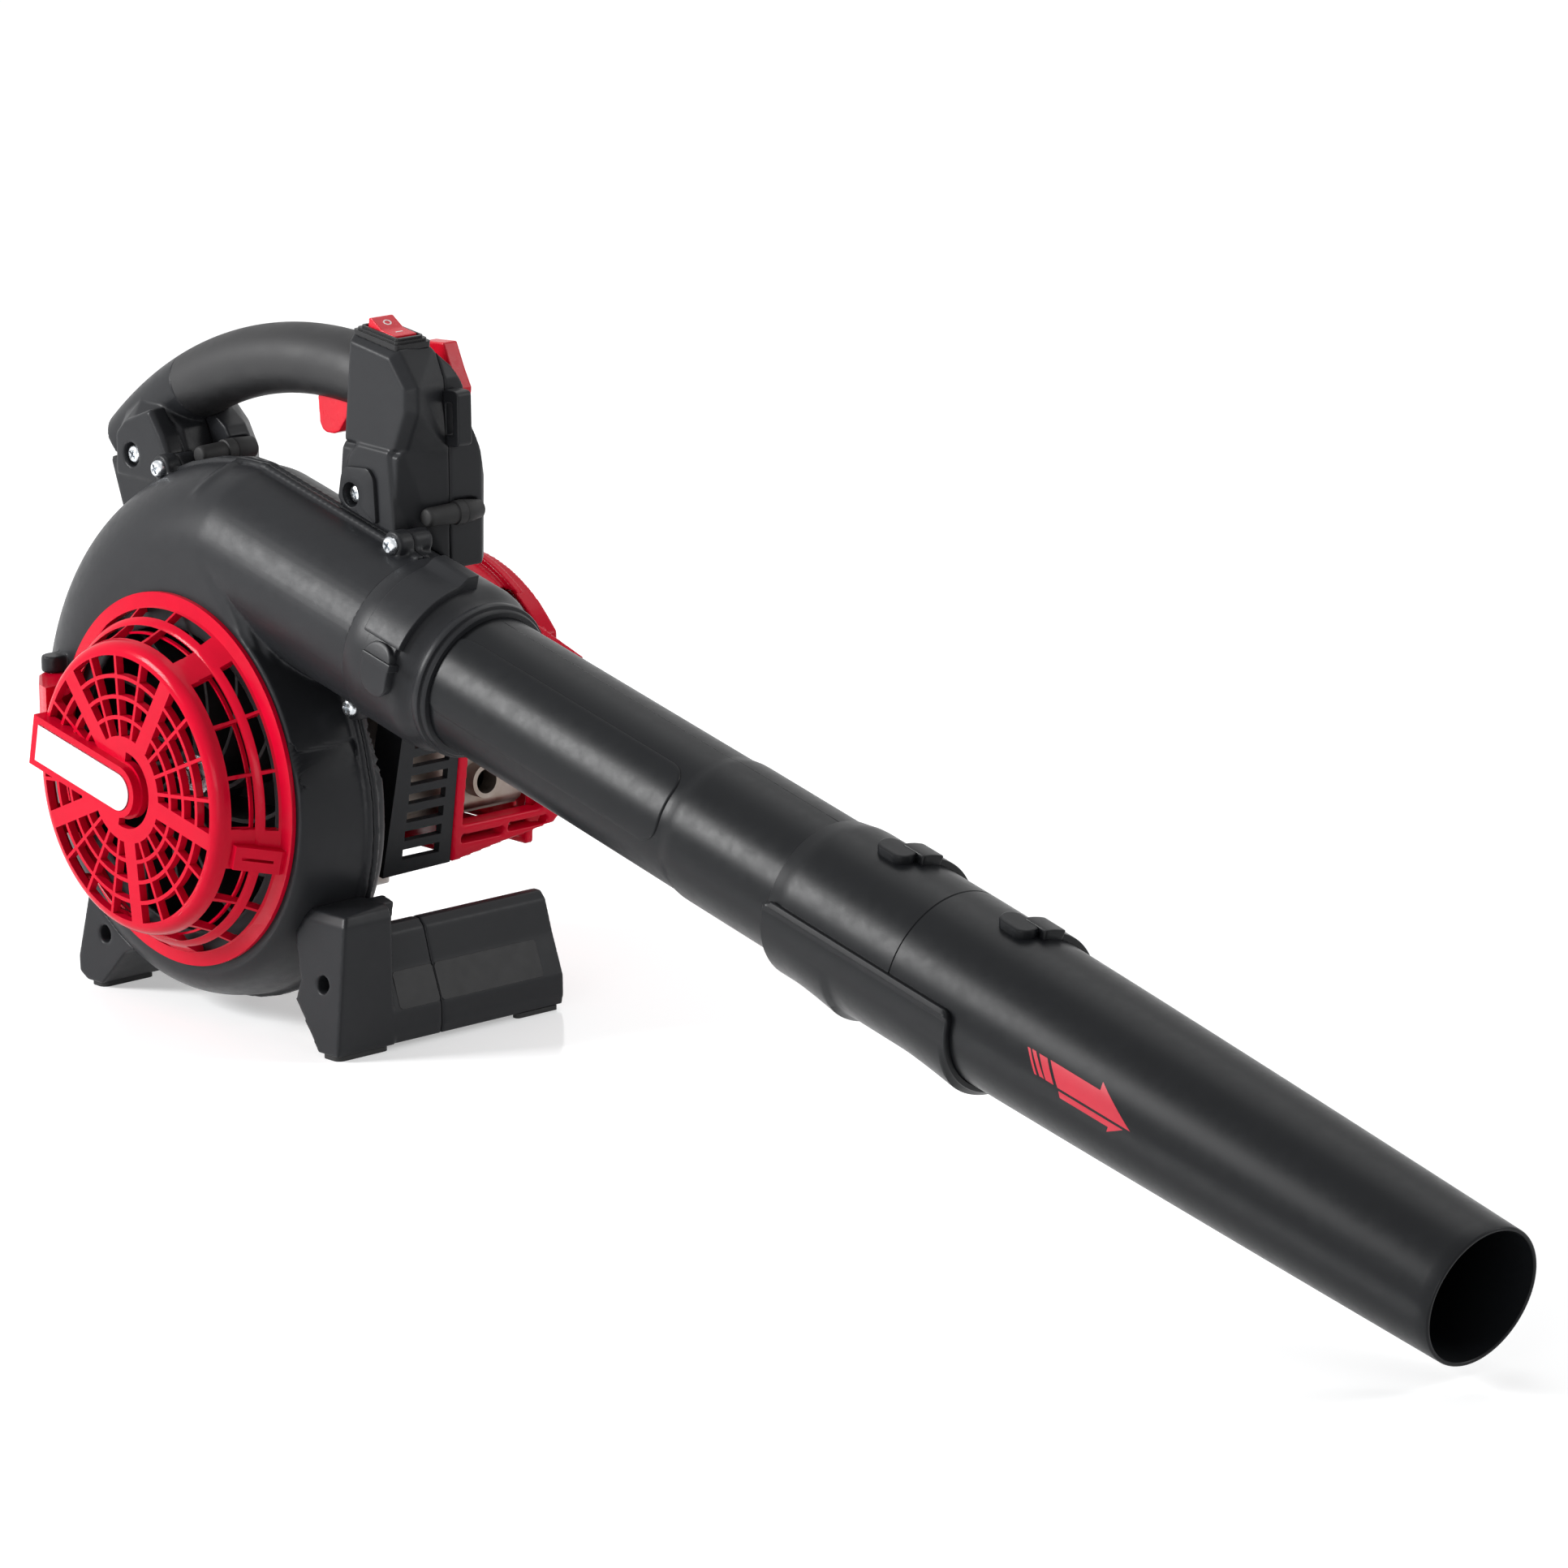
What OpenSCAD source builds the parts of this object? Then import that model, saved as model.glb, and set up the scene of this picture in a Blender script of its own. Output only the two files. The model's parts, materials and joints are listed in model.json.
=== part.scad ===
// Hand-held petrol leaf blower.
// +X runs with the air out of the nozzle, +Z is up and +Y is the engine side.
// The origin lies on the ground, at the middle of the whole machine's box.
// Dimensions are drawn from the fan shaft and the housing's parting plane, and then placed.

/* [Fan housing] */
// Height of the fan shaft above the ground
fan_z = 126; // [125:0.5:128]
// Radius of the spiral where it starts
spiral_r = 97; // [96:0.5:98]
// Growth of the spiral, in millimetres per degree
spiral_rise = 0.205; // [0.2:0.001:0.21]
// Wall thickness of the moulded shells
wall = 2.5; // [2.2:0.1:2.8]

/* [Blow tube] */
// Downward slope of the tube, in degrees
tube_tilt = 13.5; // [13.2:0.1:13.8]
// Outer radius of the first tube where it leaves the collar
tube_r = 35.2; // [35:0.1:35.6]
// Outer radius of the nozzle at its socket
socket_r = 39.6; // [39.4:0.1:40]
// Outer radius of the nozzle at its mouth
mouth_r = 33.5; // [33.2:0.1:34]
// Distance from the fan shaft to the mouth, along the tube
tube_end = 888; // [860:1:900]

/* [Intake guard] */
// Outer radius of the guard's flange
guard_r = 96; // [95.5:0.1:96.5]
// Height of the guard's face above its flange
dome_h = 34; // [33.5:0.1:34.5]
// Thin ribs in each sector of the face
face_ribs = 3; // [2:1:4]

/* [Fan] */
// Number of fan blades
blade_count = 12; // [9:1:14]
// Radius of the fan
fan_r = 88; // [84:0.5:90]

/* [Handle] */
// Outer radius of the grip
grip_r = 18; // [17.5:0.1:18.5]

/* [Hidden] */
$fn = 64;
eps = 0.01;
gap = 0.3;                        // clearance between pieces that move past each other

black = [0.10, 0.10, 0.11];
red = [0.72, 0.04, 0.08];
steel = [0.75, 0.76, 0.78];
alloy = [0.62, 0.62, 0.63];
rubber = [0.05, 0.05, 0.05];

// ---- helpers ----
// Moves a piece from the fan shaft's place to the middle of the whole machine
module placed() translate([-mid_x, -mid_y, 0]) children();

// A flat outline drawn in X and Z, thick from y0 to y1
module slab(y0, y1)
    translate([0, y1, 0]) rotate([90, 0, 0]) linear_extrude(y1 - y0) children();

// Things drawn along Z, laid along +Y from the fan shaft's line
module on_shaft(y0) translate([0, y0, fan_z]) rotate([-90, 0, 0]) children();

// Things drawn along Z, laid along +Y through the point x, z
module along_y(x, y0, z) translate([x, y0, z]) rotate([-90, 0, 0]) children();

// A plan outline drawn in X and Y with rounded corners
module round_plan(x0, y0, x1, y1, r)
    hull() for (x = [x0 + r, x1 - r], y = [y0 + r, y1 - r]) translate([x, y]) circle(r, $fn = 32);

// A ring round its own axis
module ring_of(r_out, r_in, h)
    difference() {
        cylinder(r = r_out, h = h);
        translate([0, 0, -1]) cylinder(r = r_in, h = h + 2);
    }

// A part of the space in front of, or behind, the parting plane
module front_side() translate([-400, -400, -50]) cube([1600, 400, 700]);
module rear_side() translate([-400, 0, -50]) cube([1600, 400, 700]);

// ---- blow tube line ----
tube_rise = 120.5;                // tube axis above the fan shaft, at the shaft
duct_r = 42.7;                    // outer radius of the outlet duct
duct_from = 14;                   // the duct leaves the spiral here
duct_to = 142;                    // the duct ends here
collar_to = 188;                  // the collar ends here
tube_step = 380;                  // the first tube grows by a step here
socket_from = 455;                // the nozzle's socket starts here
socket_to = 541;                  // and ends here
latch_to = 586;                   // front end of the latch panel
tube_wall = 2;

// Things drawn along Z, laid along the blow tube from distance s
// there, local +X points down and local +Y to the engine side
module on_tube(s)
    translate([0, 0, fan_z + tube_rise]) rotate([0, 90 + tube_tilt, 0]) translate([0, 0, s])
        children();

// ---- spiral of the fan housing ----
front_depth = 43;                 // depth of the front half
near_x = -143;                    // rearmost lug of the housing
far_x = tube_end * cos(tube_tilt) + mouth_r * sin(tube_tilt);
engine_end = 166;                 // outside of the starter
guard_face = front_depth + dome_h + 5.6;
mid_x = (far_x + near_x) / 2;     // middle of the whole machine's box
mid_y = (engine_end - guard_face) / 2;
seat_r = 99;                      // flat seat round the air intake
intake_r = 78;                    // radius of the air intake hole
tongue = 20;                      // direction of the spiral's start, above the horizontal
spiral_turn = 300;                // travel of the spiral round the fan
back_plate = 6;                   // outside of the rear wall, behind the parting plane
spiral_steps = 40;
spiral_t = [for (i = [0:spiral_steps]) i * spiral_turn / spiral_steps];

function spiral_at(t) = spiral_r + spiral_rise * t + 2 * pow(max(0, t - 240) / 60, 2);
// The flat edge of the shell drifts outwards until the section matches the round duct
function flat_at(t) = seat_r + 18 * pow(max(0, t - 225) / 75, 1.6);
function rear_depth(t) = 9 + 34 * pow(t / spiral_turn, 1.2);
function polar(r, t) = [r * cos(tongue - t), fan_z + r * sin(tongue - t)];
function rise(p, y) = [p[0], y, p[1]];

// One ring of the shell, on a quarter ellipse from the parting plane in to the seat
function shell_ring(angle, thin, side) = [for (t = spiral_t)
    let (edge = spiral_at(t) - thin,
         flat = min(flat_at(t), edge - 0.5),
         r = flat + (edge - flat) * cos(angle),
         depth = (side < 0 ? front_depth : rear_depth(t)) - thin)
    rise(polar(r, t), side * depth * sin(angle))];
// The ring that closes the shell down to the rear wall
function floor_ring(thin, level) = [for (t = spiral_t)
    rise(polar(min(seat_r, spiral_at(t) - thin - 0.5) - 1, t), level)];

function flatten(l) = [for (a = l) each a];
function band_faces(i, n) = [for (j = [0:n - 1])
    let (a = i * n + j, b = i * n + (j + 1) % n)
    each [[a, b, b + n], [a, b + n, a + n]]];
function skin_faces(m, n) = concat(
    [for (i = [0:m - 2]) each band_faces(i, n)],
    [[for (j = [n - 1:-1:0]) j], [for (j = [0:n - 1]) (m - 1) * n + j]]);
function turned(faces) = [for (f = faces) [for (k = [len(f) - 1:-1:0]) f[k]]];
// A closed solid through rings of equal length; a ring list that winds the other way is turned
module skin(rings, turn = false) {
    faces = skin_faces(len(rings), len(rings[0]));
    polyhedron(flatten(rings), turn ? turned(faces) : faces, convexity = 6);
}

shell_angles = [0, 15, 30, 45, 60, 75, 90];
module spiral_front(thin) skin([for (a = shell_angles) shell_ring(a, thin, -1)]);
module spiral_rear(thin)
    skin(concat([for (a = shell_angles) shell_ring(a, thin, 1)],
                [floor_ring(thin, thin > 0 ? 1 : back_plate)]), true);

// Outline of the whole housing in X and Z, grown by more
module housing_outline(more) {
    polygon([for (t = spiral_t) polar(spiral_at(t) + more, t)]);
    translate([0, fan_z]) circle(seat_r + more);
    translate([0, fan_z + tube_rise]) rotate(-tube_tilt)
        translate([duct_from, -duct_r - more]) square([duct_to - duct_from, 2 * (duct_r + more)]);
}
screw_post = 7;                   // radius of the lugs round the housing screws
lug_places = [[-53.3, 273.4], [134.7, 261.9], [99, 174], [near_x + screw_post, 95.5]];
module lugs(y0, y1, r)
    for (p = lug_places) along_y(p[0], y0, p[1]) cylinder(r = r, h = y1 - y0);

// Space that the air fills, with the fan chamber and the duct bore
module air_space() {
    spiral_front(wall);
    spiral_rear(wall);
    on_shaft(-front_depth + wall) cylinder(r = seat_r - wall, h = front_depth - wall + 3.5);
    on_tube(duct_from - 10) cylinder(r = duct_r - wall, h = duct_to - duct_from + 20);
}

module volute_front()
    placed() color(black) difference() {
        union() {
            spiral_front(0);
            on_shaft(-front_depth) cylinder(r = seat_r - 0.5, h = front_depth);
            intersection() {
                on_tube(duct_from) cylinder(r = duct_r, h = duct_to - duct_from);
                front_side();
            }
            slab(-4, 0) housing_outline(2.2);
            lugs(-9, 0, screw_post);
            // lugs that carry the guard's hinge pin
            for (z = [hinge_z - 22, hinge_z + 13.5])
                translate([hinge_x, hinge_y, z]) {
                    cylinder(r = 6, h = 8.5);
                    translate([-6, 0, 0]) cube([12, -hinge_y - 28, 8.5]);
                }
        }
        air_space();
        on_shaft(-front_depth - 1) cylinder(r = intake_r, h = 10);
        lugs(-20, 1, 2.6);
        translate([hinge_x, hinge_y, hinge_z - 20]) cylinder(r = 2.05, h = 40);
    }

module volute_rear()
    placed() color(black) difference() {
        union() {
            spiral_rear(0);
            on_shaft(0) cylinder(r = seat_r - 1.5, h = back_plate);
            intersection() {
                on_tube(duct_from) cylinder(r = duct_r, h = duct_to - duct_from);
                rear_side();
            }
            slab(0, 4) housing_outline(2.2);
            lugs(0, 12.8, 6.2);
            // posts that carry the crankcase
            for (a = case_bolts) on_shaft(0) rotate(a) translate([case_bolt_r, 0, 0])
                cylinder(r = 7, h = case_y);
            // pads under the handle's two legs
            slab(4, 20) polygon([[-96, 222], [-62, 240], [-62, 262], [-96, 250]]);
            slab(4, 20) polygon([[78, 226], [122, 216], [122, 252], [78, 262]]);
        }
        air_space();
        on_shaft(-1) cylinder(r = 22, h = 30);
        for (a = case_bolts) on_shaft(20) rotate(a) translate([case_bolt_r, 0, 0])
            cylinder(r = 2.6, h = 20);
        lugs(-1, 10.5, 2.2);
    }

// ---- intake guard ----
guard_sectors = 5;                // sectors between the wide spokes
spoke_at = 59;                    // direction of the first wide spoke
sector = 360 / guard_sectors;
arm_dir = 168;                    // direction of the name bar, seen from the front
arm_len = 73;                     // from the shaft to the bar's outer end
arm_w = 27;
hinge_x = -98;                    // the guard's hinge pin stands upright here
hinge_y = -47.6;
hinge_z = fan_z + 27;
hinge_half = 13.2;                // half the height of the guard's knuckle
face_rings = [37, 47.5, 58];      // ring ribs of the face
face_r = 68.5;                    // outer edge of the face slots
hub_r = 27.5;

// Things drawn along Z, standing out of the guard's seat towards the front
module on_seat(h) translate([0, -front_depth - h, fan_z]) rotate([90, 0, 0]) children();

guard_edge = [for (a = [0:15:90]) [face_r + 7 * cos(a), dome_h - 8 + 7 * sin(a)]];
guard_inside = [for (a = [90:-15:0]) [face_r - 0.5 + 4 * cos(a), dome_h - 9.5 + 4 * sin(a)]];
module guard_shell()
    on_seat(gap) rotate_extrude($fn = 96) polygon(concat(
        [[guard_r, 0], [guard_r, 2.4], [89, 3.4], [83, 12.4], [81, 13.4], [77, 22]],
        guard_edge, [[20, dome_h], [0, dome_h]],
        [[0, dome_h - 4], [20, dome_h - 4]],
        guard_inside, [[73.5, 20], [78.5, 10.6], [80.5, 9.6], [85.6, 1], [85.6, 0]]));

// Slots of one stepped band, cut through along the shaft
module band_slots(r_in, r_out, slots, rib)
    on_seat(-5) difference() {
        ring_of(r_out, r_in, 60);
        for (k = [0:guard_sectors - 1]) rotate(spoke_at + k * sector) {
            intersection() {
                rotate(-6) cube([120, 40, 200]);
                rotate(6) translate([0, -40, 0]) cube([120, 40, 200]);
            }
            for (j = [1:slots - 1]) rotate(6 + j * (sector - 12) / slots)
                translate([0, -rib / 2, -1]) cube([120, rib, 200]);
        }
    }
module face_slots()
    on_seat(dome_h - 12) difference() {
        ring_of(face_r, hub_r, 60);
        for (r = face_rings) translate([0, 0, -1]) ring_of(r + 1, r - 1, 62);
        for (k = [0:guard_sectors - 1]) rotate(spoke_at + k * sector) {
            translate([0, -4.5, -1]) cube([80, 9, 70]);
            for (j = [1:face_ribs]) rotate(j * sector / (face_ribs + 1))
                translate([0, -0.9, -1]) cube([80, 1.8, 70]);
        }
    }
module guard_bar(more, h0, h1)
    on_seat(h0) rotate(arm_dir) linear_extrude(h1 - h0) union() {
        circle(arm_w / 2 + more);
        translate([0, -arm_w / 2 - more]) square([arm_len + more, arm_w + 2 * more]);
    }
module intake_guard()
    placed() color(red) difference() {
        union() {
            difference() {
                guard_shell();
                band_slots(84.4, 88.2, 3, 1.6);
                band_slots(77.6, 80.8, 3, 1.6);
                face_slots();
            }
            intersection() {
                guard_bar(0, dome_h - 3, dome_h + 5);
                on_seat(0) cylinder(r = 140, h = 60);
            }
            // arm from the rim out to the hinge knuckle
            translate([0, 0, hinge_z - hinge_half]) {
                translate([hinge_x, hinge_y, 0]) cylinder(r = 4.2, h = 2 * hinge_half);
                linear_extrude(2 * hinge_half) polygon([[-100, -44.2], [-102, -49], [-96, -58],
                    [-80, -70], [-70, -73], [-71, -62], [-82, -55], [-86, -46], [-92, -44]]);
            }
            // snap tab that releases the guard
            on_seat(gap) rotate(-17) translate([0, 6.5, 0]) rotate([90, 0, 0]) linear_extrude(13)
                polygon([[75, 18], [77, 24], [80, 24], [93, 5], [93, 0], [83, 0]]);
        }
        // dark gap round the bar's rounded end
        on_seat(dome_h - 8) intersection() {
            ring_of(20, arm_w / 2 + 1.5, 30);
            rotate(arm_dir + 180) translate([-2, -40, -1]) cube([60, 80, 40]);
        }
        on_seat(-1) rotate(-17) translate([82, -0.8, 0]) cube([9, 1.6, 40]);
        on_seat(dome_h + 4.2) rotate(arm_dir) linear_extrude(5) name_bar_outline(9.9, 68.3);
        translate([hinge_x, hinge_y, hinge_z - 20]) cylinder(r = 2.08, h = 40);
        // room for the snap tab's spring, and for the two hinge lugs
        on_seat(-1) cylinder(r = 60, h = 8);
        for (z = [hinge_z - 22.3, hinge_z + 13.2])
            translate([hinge_x, hinge_y, z]) {
                cylinder(r = 6.4, h = 9.1);
                translate([-6.4, 0, 0]) cube([12.8, 20, 9.1]);
            }
    }
module name_bar_outline(r, length) {
    circle(r);
    translate([0, -r]) square([length, 2 * r]);
}
module guard_plate()
    placed() color(steel) on_seat(dome_h + 4.2) rotate(arm_dir) linear_extrude(1.4)
        name_bar_outline(9.7, 68);
module guard_hinge_pin()
    placed() color(steel) translate([hinge_x, hinge_y, hinge_z - 20]) cylinder(r = 2.05, h = 40);

// ---- fan ----
fan_front = -36;                  // front edge of the blades
fan_back = -8;
blade_arc = 70;                   // radius of a blade's curve
blade_thick = 2.2;
module impeller()
    placed() color(black) difference() {
        union() {
            on_shaft(fan_back) cylinder(r = fan_r, h = 3);
            on_shaft(-30) cylinder(r = 17, h = 25);
            on_shaft(fan_back - 6) cylinder(r1 = 17, r2 = 26, h = 6);
            for (k = [0:blade_count - 1]) on_shaft(fan_front) rotate(k * 360 / blade_count)
                intersection() {
                    translate([3.3, -63.9, 0])
                        ring_of(blade_arc + blade_thick / 2, blade_arc - blade_thick / 2, 29);
                    translate([14, -62, 0]) cube([90, 80, 29]);
                    cylinder(r = fan_r - 0.6, h = 29);
                }
        }
        on_shaft(-60) cylinder(r = 5.02, h = 80);
    }
module impeller_nut()
    placed() color(steel) difference() {
        union() {
            on_shaft(-37) cylinder(r = 8, h = 6, $fn = 6);
            on_shaft(-31.2) cylinder(r = 10, h = 1.2);
        }
        on_shaft(-60) cylinder(r = 5.02, h = 80);
    }
case_y = 32;                      // front face of the crankcase
case_end = 104;                   // rear face of the crankcase
case_bolt_r = 46;
case_bolts = [45, 135, 225, 315];
bearing_r = 16;
engine_y = 68;                    // plane of the cylinder's axis
module crankshaft()
    placed() color(steel) union() {
        on_shaft(-40) cylinder(r = 5, h = 37);
        on_shaft(-5) cylinder(r = 10, h = 5);
        on_shaft(0) cylinder(r = 7.5, h = 58);
        on_shaft(56) cylinder(r = 27, h = 7);
        on_shaft(63) translate([0, -15, 0]) cylinder(r = 6, h = 10);
        on_shaft(73) cylinder(r = 27, h = 7);
        on_shaft(80) cylinder(r = 7.5, h = 30);
        on_shaft(110) cylinder(r = 6, h = 31.5);
    }
module crank_bearings()
    placed() color(steel) {
        on_shaft(40) ring_of(bearing_r, 7.54, 10);
        on_shaft(88) ring_of(bearing_r, 7.54, 10);
    }
module crankcase()
    placed() color(alloy) difference() {
        union() {
            on_shaft(case_y) cylinder(r = 36, h = 4);
            on_shaft(case_y) cylinder(r = 26, h = case_end - case_y);
            on_shaft(50) cylinder(r = 36.6, h = 36);
            for (a = case_bolts) on_shaft(case_y) rotate(a) translate([case_bolt_r, 0, 0])
                cylinder(r = 7, h = 5);
            for (a = [45, 135]) on_shaft(case_y) rotate(a)
                translate([-case_bolt_r, -5, 0]) cube([2 * case_bolt_r, 10, 5]);
            translate([-27, 46, fan_z + 20]) cube([54, 44, 20]);
        }
        on_shaft(55) cylinder(r = 30, h = 26);
        on_shaft(case_y - 1) cylinder(r = 10, h = 90);
        on_shaft(case_y - 1) cylinder(r = bearing_r, h = 19);
        on_shaft(88) cylinder(r = bearing_r, h = 30);
        for (a = case_bolts) on_shaft(case_y - 1) rotate(a) translate([case_bolt_r, 0, 0])
            cylinder(r = 2.7, h = 12);
    }

// ---- engine top end ----
deck_z = fan_z + 40;              // joint of crankcase and cylinder
fin_w = 68;
module fin_plate(z, w, d)
    translate([0, engine_y, z]) linear_extrude(2) round_plan(-w / 2, -d / 2, w / 2, d / 2, 10);
module engine_cylinder()
    placed() color(alloy) difference() {
        union() {
            translate([0, engine_y, deck_z]) cylinder(r = 23, h = 46);
            translate([-27, 46, deck_z]) cube([54, 44, 5]);
            for (i = [0:5]) fin_plate(deck_z + 9 + i * 6.5, fin_w - 2 * i, 58 - i);
            // exhaust and intake stubs
            translate([0, engine_y, deck_z + 14]) rotate([0, 90, 0]) cylinder(r = 12, h = 36);
            translate([0, engine_y, deck_z + 20]) rotate([0, -90, 0]) cylinder(r = 12, h = 38);
        }
        translate([0, engine_y, deck_z - 1]) cylinder(r = 17, h = 38);
        translate([0, engine_y, deck_z + 30]) cylinder(r = 5, h = 30);
        translate([16, engine_y, deck_z + 14]) rotate([0, 90, 0]) cylinder(r = 8, h = 30);
        translate([-16, engine_y, deck_z + 20]) rotate([0, -90, 0]) cylinder(r = 8, h = 30);
    }
module spark_plug()
    placed() color(steel) translate([0, engine_y, deck_z + 37]) {
        cylinder(r = 5, h = 9);
        translate([0, 0, 9]) cylinder(r = 8, h = 6, $fn = 6);
        translate([0, 0, 15]) cylinder(r = 4.5, h = 12);
    }
module plug_boot()
    placed() color(rubber) translate([0, engine_y, deck_z + 53]) difference() {
        union() {
            cylinder(r = 8, h = 17);
            translate([0, 0, 17]) sphere(r = 8);
            translate([0, 0, 11]) rotate([90, 0, 0]) cylinder(r = 4.5, h = 16);
        }
        translate([0, 0, -1]) cylinder(r = 4.52, h = 12);
    }
port_z = deck_z + 14;             // exhaust port
intake_z = deck_z + 20;           // intake port
module muffler()
    placed() color([0.42, 0.36, 0.32]) difference() {
        union() {
            intersection() {
                translate([37, 50, 94]) cube([20.5, 84, 100]);
                slab(50, 134) translate([37, 94]) offset_rect(20.5, 100, 6);
            }
            translate([57, 104, 111]) rotate([0, 90, 0]) cylinder(r = 9, h = 9);
            translate([36, engine_y, port_z]) rotate([0, 90, 0]) cylinder(r = 13, h = 3);
            // pressed seam round the can
            translate([48, 48, 92]) cube([2, 88, 104]);
        }
        slab(52, 132) translate([39, 96]) offset_rect(16.5, 96, 4);
        translate([50, 104, 111]) rotate([0, 90, 0]) cylinder(r = 6.5, h = 30);
        translate([30, engine_y, port_z]) rotate([0, 90, 0]) cylinder(r = 8, h = 14);
    }
module offset_rect(w, h, r) {
    translate([r, 0]) square([w - 2 * r, h]);
    translate([0, r]) square([w, h - 2 * r]);
    for (x = [r, w - r], y = [r, h - r]) translate([x, y]) circle(r);
}
module muffler_gasket()
    placed() color([0.3, 0.3, 0.3]) translate([36, 0, 0]) rotate([0, 0, 0])
        translate([0, engine_y, port_z]) rotate([0, 90, 0]) ring_of(14, 13.02, 1);

// ---- engine covers ----
front_x = 62;                     // front face of the engine cover, at the lean's foot
front_z = 110;
front_lean = 9;
// Outlines drawn in Y and in Z above front_z, standing in the leaning front plane
module on_front(x0, thick)
    translate([front_x, 0, front_z]) rotate([0, front_lean, 0]) translate([x0, 0, 0])
        rotate([90, 0, 90]) linear_extrude(thick) children();
module heat_shield()
    placed() color(black) difference() {
        union() {
            on_front(4, 4) polygon([[36, -38], [80, -37], [80, 44], [42, 44]]);
            on_front(-12, 17) polygon([[36, -38], [39, -38], [45, 44], [42, 44]]);
        }
        for (i = [0:6]) on_front(0, 12)
            translate([48 - i * 0.4 + 2.4, 30 - i * 10]) square([24, 5.5]);
    }
cover_r = 94;
module cover_outline(more)
    intersection() {
        translate([0, fan_z]) circle(cover_r + more, $fn = 96);
        polygon([[-58 - more, 76 - more], [58 + more, 76 - more], [74 + more, 176], [74 + more, 240],
                 [-58 - more, 240]]);
    }
module engine_cover()
    placed() color(red) difference() {
        union() {
            slab(80, 137) cover_outline(0);
            slab(132, 137) cover_outline(4);
            // struts to the crankcase
            intersection() {
                slab(98.5, 105) cover_outline(-1);
                for (a = [66, 114, 270]) on_shaft(98.5) rotate(-a) translate([26, -4, 0])
                    cube([80, 8, 6.5]);
            }
            on_front(2, 7) polygon([[80, -37], [148, -27], [158, -16], [158, 62], [104, 100],
                                    [80, 104]]);
        }
        difference() {
            slab(70, 140) cover_outline(-2.5);
            for (a = [66, 114, 270]) on_shaft(98.5) rotate(-a) translate([26, -4, 0])
                cube([80, 8, 6.5]);
        }
        on_shaft(90) cylinder(r = 26, h = 14);
        on_front(-30, 30) translate([83, -34]) square([60, 126]);
        on_front(-5, 30) polygon([[86, -18], [138, -18], [144, -12], [144, 26], [86, 26]]);
        on_front(-5, 30) translate([86, -28]) square([28, 5]);
        on_front(-5, 30) translate([117, -27]) square([26, 5]);
        // air slots above the window
        for (i = [0:3]) on_front(-5, 30) translate([90, 36 + i * 11]) square([52 - i * 6, 5]);
        // opening for the intake at the rear
        translate([-70, 79, 150]) cube([20, 45, 60]);
        // plug opening in the roof
        translate([0, 84, 190]) cylinder(r = 12, h = 60);
    }
module flywheel()
    placed() color(alloy) difference() {
        union() {
            on_shaft(112) cylinder(r = 36, h = 8);
            on_shaft(112) cylinder(r = 14, h = 20);
            for (k = [0:11]) on_shaft(119) rotate(k * 30) translate([16, -1.2, 0])
                cube([19, 2.4, 9]);
        }
        on_shaft(100) cylinder(r = 6.02, h = 50);
        on_shaft(110) cylinder(r = 7.6, h = 2.5);
    }
module ignition_coil()
    placed() color(black) difference() {
        translate([-16, 105, fan_z + 36.5]) cube([32, 18, 18]);
        translate([0, 114, fan_z + 30]) cylinder(r = 3, h = 40);
    }
module starter_pulley()
    placed() color(black) difference() {
        union() {
            on_shaft(145) cylinder(r = 32, h = 2);
            on_shaft(147) cylinder(r = 26, h = 6);
            on_shaft(153) cylinder(r = 32, h = 2);
            for (a = [0, 180]) on_shaft(142) rotate(a) translate([16, -3, 0]) cube([8, 6, 4]);
        }
        on_shaft(140) cylinder(r = 7.05, h = 20);
    }
module starter_housing()
    placed() color(red) difference() {
        union() {
            slab(137, 148) cover_outline(-2);
            on_shaft(148) cylinder(r = 65.2, h = 6);
            on_shaft(154) cylinder(r1 = 62, r2 = 54, h = 12);
            // guide for the starter handle
            translate([-58, 146, fan_z + 40]) cube([24, 20, 26]);
        }
        slab(136, 145.5) cover_outline(-4.5);
        difference() {
            on_shaft(140) cylinder(r = 59, h = 20);
            on_shaft(142.5) cylinder(r = 7, h = 30);
        }
        for (k = [0:15]) on_shaft(150) rotate(k * 22.5) translate([36, -2, 0]) cube([14, 4, 20]);
        translate([-46, starter_y, fan_z + 30]) cylinder(r = 3, h = 50);
    }
starter_y = 157.5;
module starter_handle()
    placed() color(black) translate([-46, starter_y, fan_z + 66]) difference() {
        union() {
            cylinder(r = 8, h = 5);
            translate([-20, 0, 9]) rotate([0, 90, 0]) cylinder(r = 7.5, h = 40);
            for (x = [-20, 20]) translate([x, 0, 9]) sphere(r = 7.5);
        }
        translate([0, 0, -1]) cylinder(r = 2, h = 30);
    }

// ---- intake side ----
module intake_insulator()
    placed() color(black) difference() {
        translate([-50, engine_y - 17, intake_z - 17]) cube([12, 34, 34]);
        translate([-60, engine_y, intake_z]) rotate([0, 90, 0]) cylinder(r = 8, h = 30);
    }
module carburettor()
    placed() color(alloy) difference() {
        union() {
            translate([-78, engine_y - 15, intake_z - 16]) cube([28, 30, 32]);
            translate([-76, engine_y - 13, intake_z - 20]) cube([24, 26, 4]);
            translate([-76, engine_y - 13, intake_z + 16]) cube([24, 26, 3]);
        }
        translate([-90, engine_y, intake_z]) rotate([0, 90, 0]) cylinder(r = 8, h = 50);
        along_y(-64, engine_y - 20, intake_z + 10) cylinder(r = 2.55, h = 13);
        along_y(-64, engine_y + 9, intake_z - 5) cylinder(r = 10, h = 10);
    }
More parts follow.
